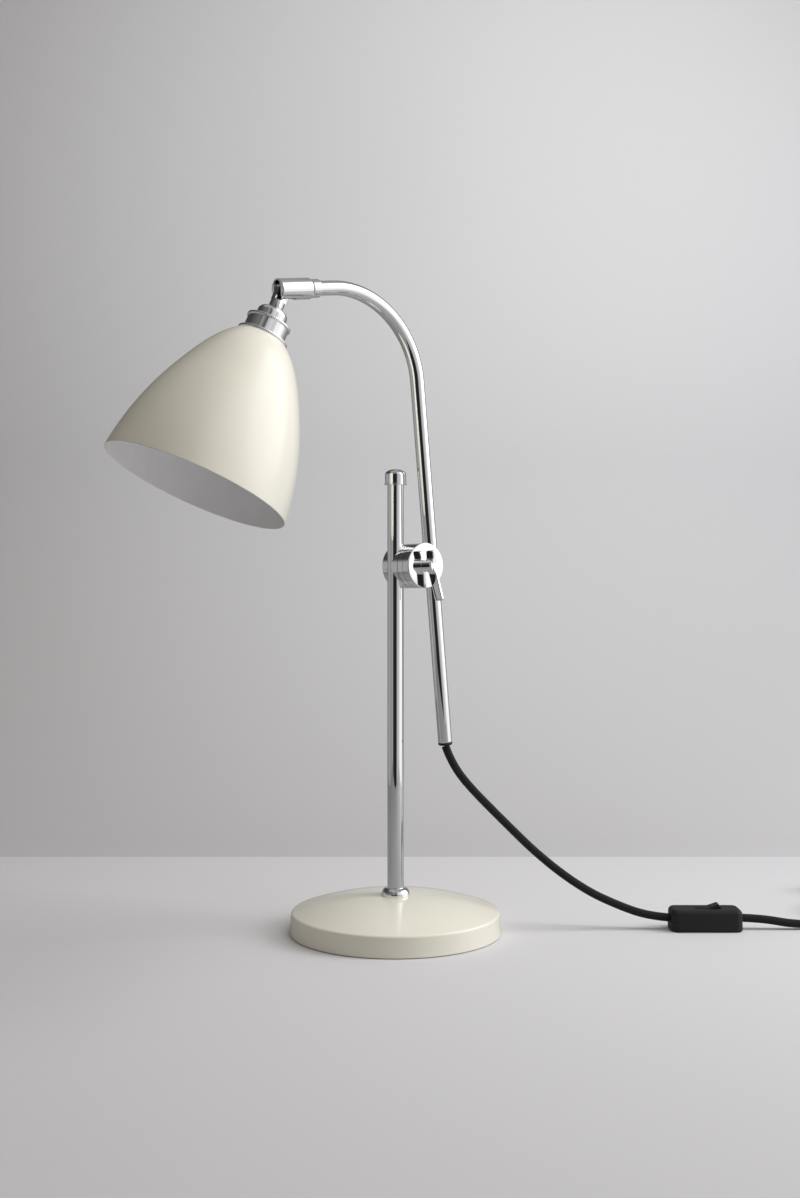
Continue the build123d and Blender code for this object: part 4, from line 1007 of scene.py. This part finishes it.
floorParts = {"floor": (-half, half, -front, half), "farFloorFront": (-far, far, -far, -front),
              "farFloorBack": (-far, far, half, far), "farFloorLeft": (-far, -half, -front, half),
              "farFloorRight": (half, far, -front, half)}
for name, (left, right, nearEdge, farEdge) in floorParts.items():
    stageSheet(name, tableTop, left, right, (nearEdge, farEdge), (0, 0), name == "floor")

# the backdrop: a sheet that starts in a line behind the lamp, lies flat, rises through a quarter circle and
# stands up as a wall; it shows from its front alone, with a painted pool of light on it
sweep = {"line": 0.328, "bend": 0.42, "wall": 0.92, "side": 2.2, "height": 2.6, "lift": 0.0003, "rows": 60,
         "pool": (-0.07, 0.93), "reach": (0.15, 1.22), "tones": ((0.465, 0.459, 0.473), (0.735, 0.735, 0.75)),
         "roughness": 0.9, "specular": 0.1}
wallPaintedLight, tree, surface, places = newFinish("wallPaintedLight")
# the wall's tone is a painted pool of light, lightest round a place high up, darker towards the bottom and
# sides
wallLightMiddle = sweep["pool"][0] * towardRight - sweep["wall"] * towardCamera + sweep["pool"][1] * upward
feed(tree, surface["Base Color"], paintedLightPool(tree, places, wallLightMiddle, sweep["reach"], *sweep["tones"]))
surface["Roughness"].default_value = sweep["roughness"]
surface["Specular IOR Level"].default_value = sweep["specular"]
oneSided = node(tree, "ShaderNodeMixShader", Fac=node(tree, "ShaderNodeNewGeometry").outputs["Backfacing"])
feed(tree, oneSided.inputs[1], tree.nodes["Principled BSDF"].outputs["BSDF"])
feed(tree, oneSided.inputs[2], node(tree, "ShaderNodeBsdfTransparent").outputs["BSDF"])
feed(tree, tree.nodes["Material Output"].inputs["Surface"], oneSided.outputs["Shader"])
sweepTurn = np.linspace(0, np.pi / 2, sweep["rows"])
sweepRound = sweep["wall"] - sweep["bend"]
behind = np.concatenate([[sweep["line"]], sweep["bend"] + sweepRound * np.sin(sweepTurn), [sweep["wall"]]])
height = np.concatenate([[0], sweepRound * (1 - np.cos(sweepTurn)), [sweep["height"]]]) + sweep["lift"]
stageSheet("backdrop", wallPaintedLight, -sweep["side"], sweep["side"], behind, height, False)


# a way to look, by compass angle from the camera and height in degrees
def wayTo(azimuth, height):
    level = np.sin(radians(azimuth)) * towardRight + np.cos(radians(azimuth)) * towardCamera
    return np.cos(radians(height)) * level + np.sin(radians(height)) * upward


# soft boxes: oblong lights that face the lamp's middle
lampMiddle = 0.25 * upward
softBoxes = {"keyBox": {"way": (84.0, 24.0), "distance": 1.5, "size": (0.75, 0.85), "power": 17.8,
                        "tint": (0.962, 0.982, 1.0)},
             "topBox": {"way": (75.0, 66.0), "distance": 1.6, "size": (1.2, 1.2), "power": 12.5,
                        "tint": (1, 1, 1)}}
for name, box in softBoxes.items():
    way = wayTo(*box["way"])
    light = bpy.data.lights.new(name, "AREA")
    light.shape = "RECTANGLE"
    light.size, light.size_y = box["size"]
    light.energy = box["power"]
    light.color = box["tint"]
    holder = bpy.data.objects.new(name, light)
    holder.location = lampMiddle + box["distance"] * way
    holder.rotation_euler = Vector(way).to_track_quat("Z", "Y").to_euler()
    holder.visible_glossy = False
    scene.collection.objects.link(holder)

# the room as metal sees it: tones by compass angle from the camera, below, level with and above the lamp,
# under a plain ceiling and with one bright box; other rays get a fill that is weaker on the shade's side
room = {"low": [(-180, 0.26), (-150, 0.18), (-60, 0.20), (-38, 0.26), (-32, 0.02), (12, 0.015), (20, 0.34),
                (50, 0.46), (120, 0.46), (150, 0.22), (180, 0.26)],
        "level": [(-180, 0.50), (-168, 0.22), (-150, 0.20), (-118, 0.26), (-108, 0.36), (-92, 0.34),
                  (-78, 0.26), (-60, 0.28), (-38, 0.34), (-32, 0.02), (12, 0.015), (20, 0.42), (36, 0.52),
                  (52, 0.62), (60, 1.0), (105, 0.95), (122, 0.45), (150, 0.20), (168, 0.22), (180, 0.50)],
        "high": [(-180, 0.34), (-168, 0.06), (-105, 0.05), (-60, 0.12), (-36, 0.16), (-28, 0.12),
                 (-14, 0.32), (-4, 0.16), (8, 0.09), (15, 0.48), (24, 0.60), (40, 0.85), (55, 1.0),
                 (105, 1.0), (122, 0.25), (165, 0.18), (180, 0.34)],
        "blueness": 1.01, "levelFrom": (-0.45, -0.25), "highFrom": (0.16, 0.38),
        "ceilingFrom": (0.72, 0.92), "ceiling": (0.34, 0.34, 0.343),
        "boxWay": (95, 26), "boxEdge": (0.84, 0.95), "box": (2.3, 2.3, 2.3),
        "fillRise": (-0.2, 1.0), "fill": ((0.068, 0.061, 0.052), (0.60, 0.572, 0.52)),
        "shadeSide": ((0.038, 0.034, 0.028), (0.335, 0.314, 0.275)), "sideFrom": (-0.9, 0.05),
        "shown": (0.55, 0.55, 0.555)}
world = bpy.data.worlds.new("studio")
scene.world = world
world.use_nodes = True
tree = world.node_tree
tree.nodes.clear()
direction = node(tree, "ShaderNodeTexCoord").outputs["Generated"]


# how far a ray's direction goes along a way
def along(way):
    return maths(tree, "DOT_PRODUCT", direction, tuple(way), kind="ShaderNodeVectorMath")


compass = maths(tree, "ARCTAN2", along(towardRight), along(towardCamera))
compassRange = node(tree, "ShaderNodeMapRange", Value=compass, From_Min=-np.pi, From_Max=np.pi)


# greys round the compass, from a list of (angle, tone)
def toneRamp(tones):
    ramp = node(tree, "ShaderNodeValToRGB", Fac=compassRange.outputs["Result"])
    for k, (angle, tone) in enumerate(tones):
        stop = ramp.color_ramp.elements[k] if k < 2 else ramp.color_ramp.elements.new(1.0)
        stop.position = (angle + 180) / 360
        stop.color = (tone, tone, tone * room["blueness"], 1)
    return ramp.outputs["Color"]


highness = along(upward)
mirrored = toneRamp(room["low"])
for reach, tone in (("levelFrom", toneRamp(room["level"])), ("highFrom", toneRamp(room["high"])),
                    ("ceilingFrom", room["ceiling"])):
    mirrored = mixed(tree, eased(tree, highness, *room[reach]), mirrored, tone)
mirrored = mixed(tree, eased(tree, along(wayTo(*room["boxWay"])), *room["boxEdge"]), mirrored, room["box"])
rising = eased(tree, highness, *room["fillRise"])
sideFill, openFill = [mixed(tree, rising, *room[fill]) for fill in ("shadeSide", "fill")]
diffused = mixed(tree, eased(tree, along(towardRight), *room["sideFrom"]), sideFill, openFill)
rayKind = node(tree, "ShaderNodeLightPath").outputs
seen = mixed(tree, rayKind["Is Glossy Ray"], diffused, mirrored)
sky = node(tree, "ShaderNodeBackground", Color=mixed(tree, rayKind["Is Camera Ray"], seen, room["shown"]))
feed(tree, node(tree, "ShaderNodeOutputWorld").inputs["Surface"], sky.outputs["Background"])
print("stage and light set")
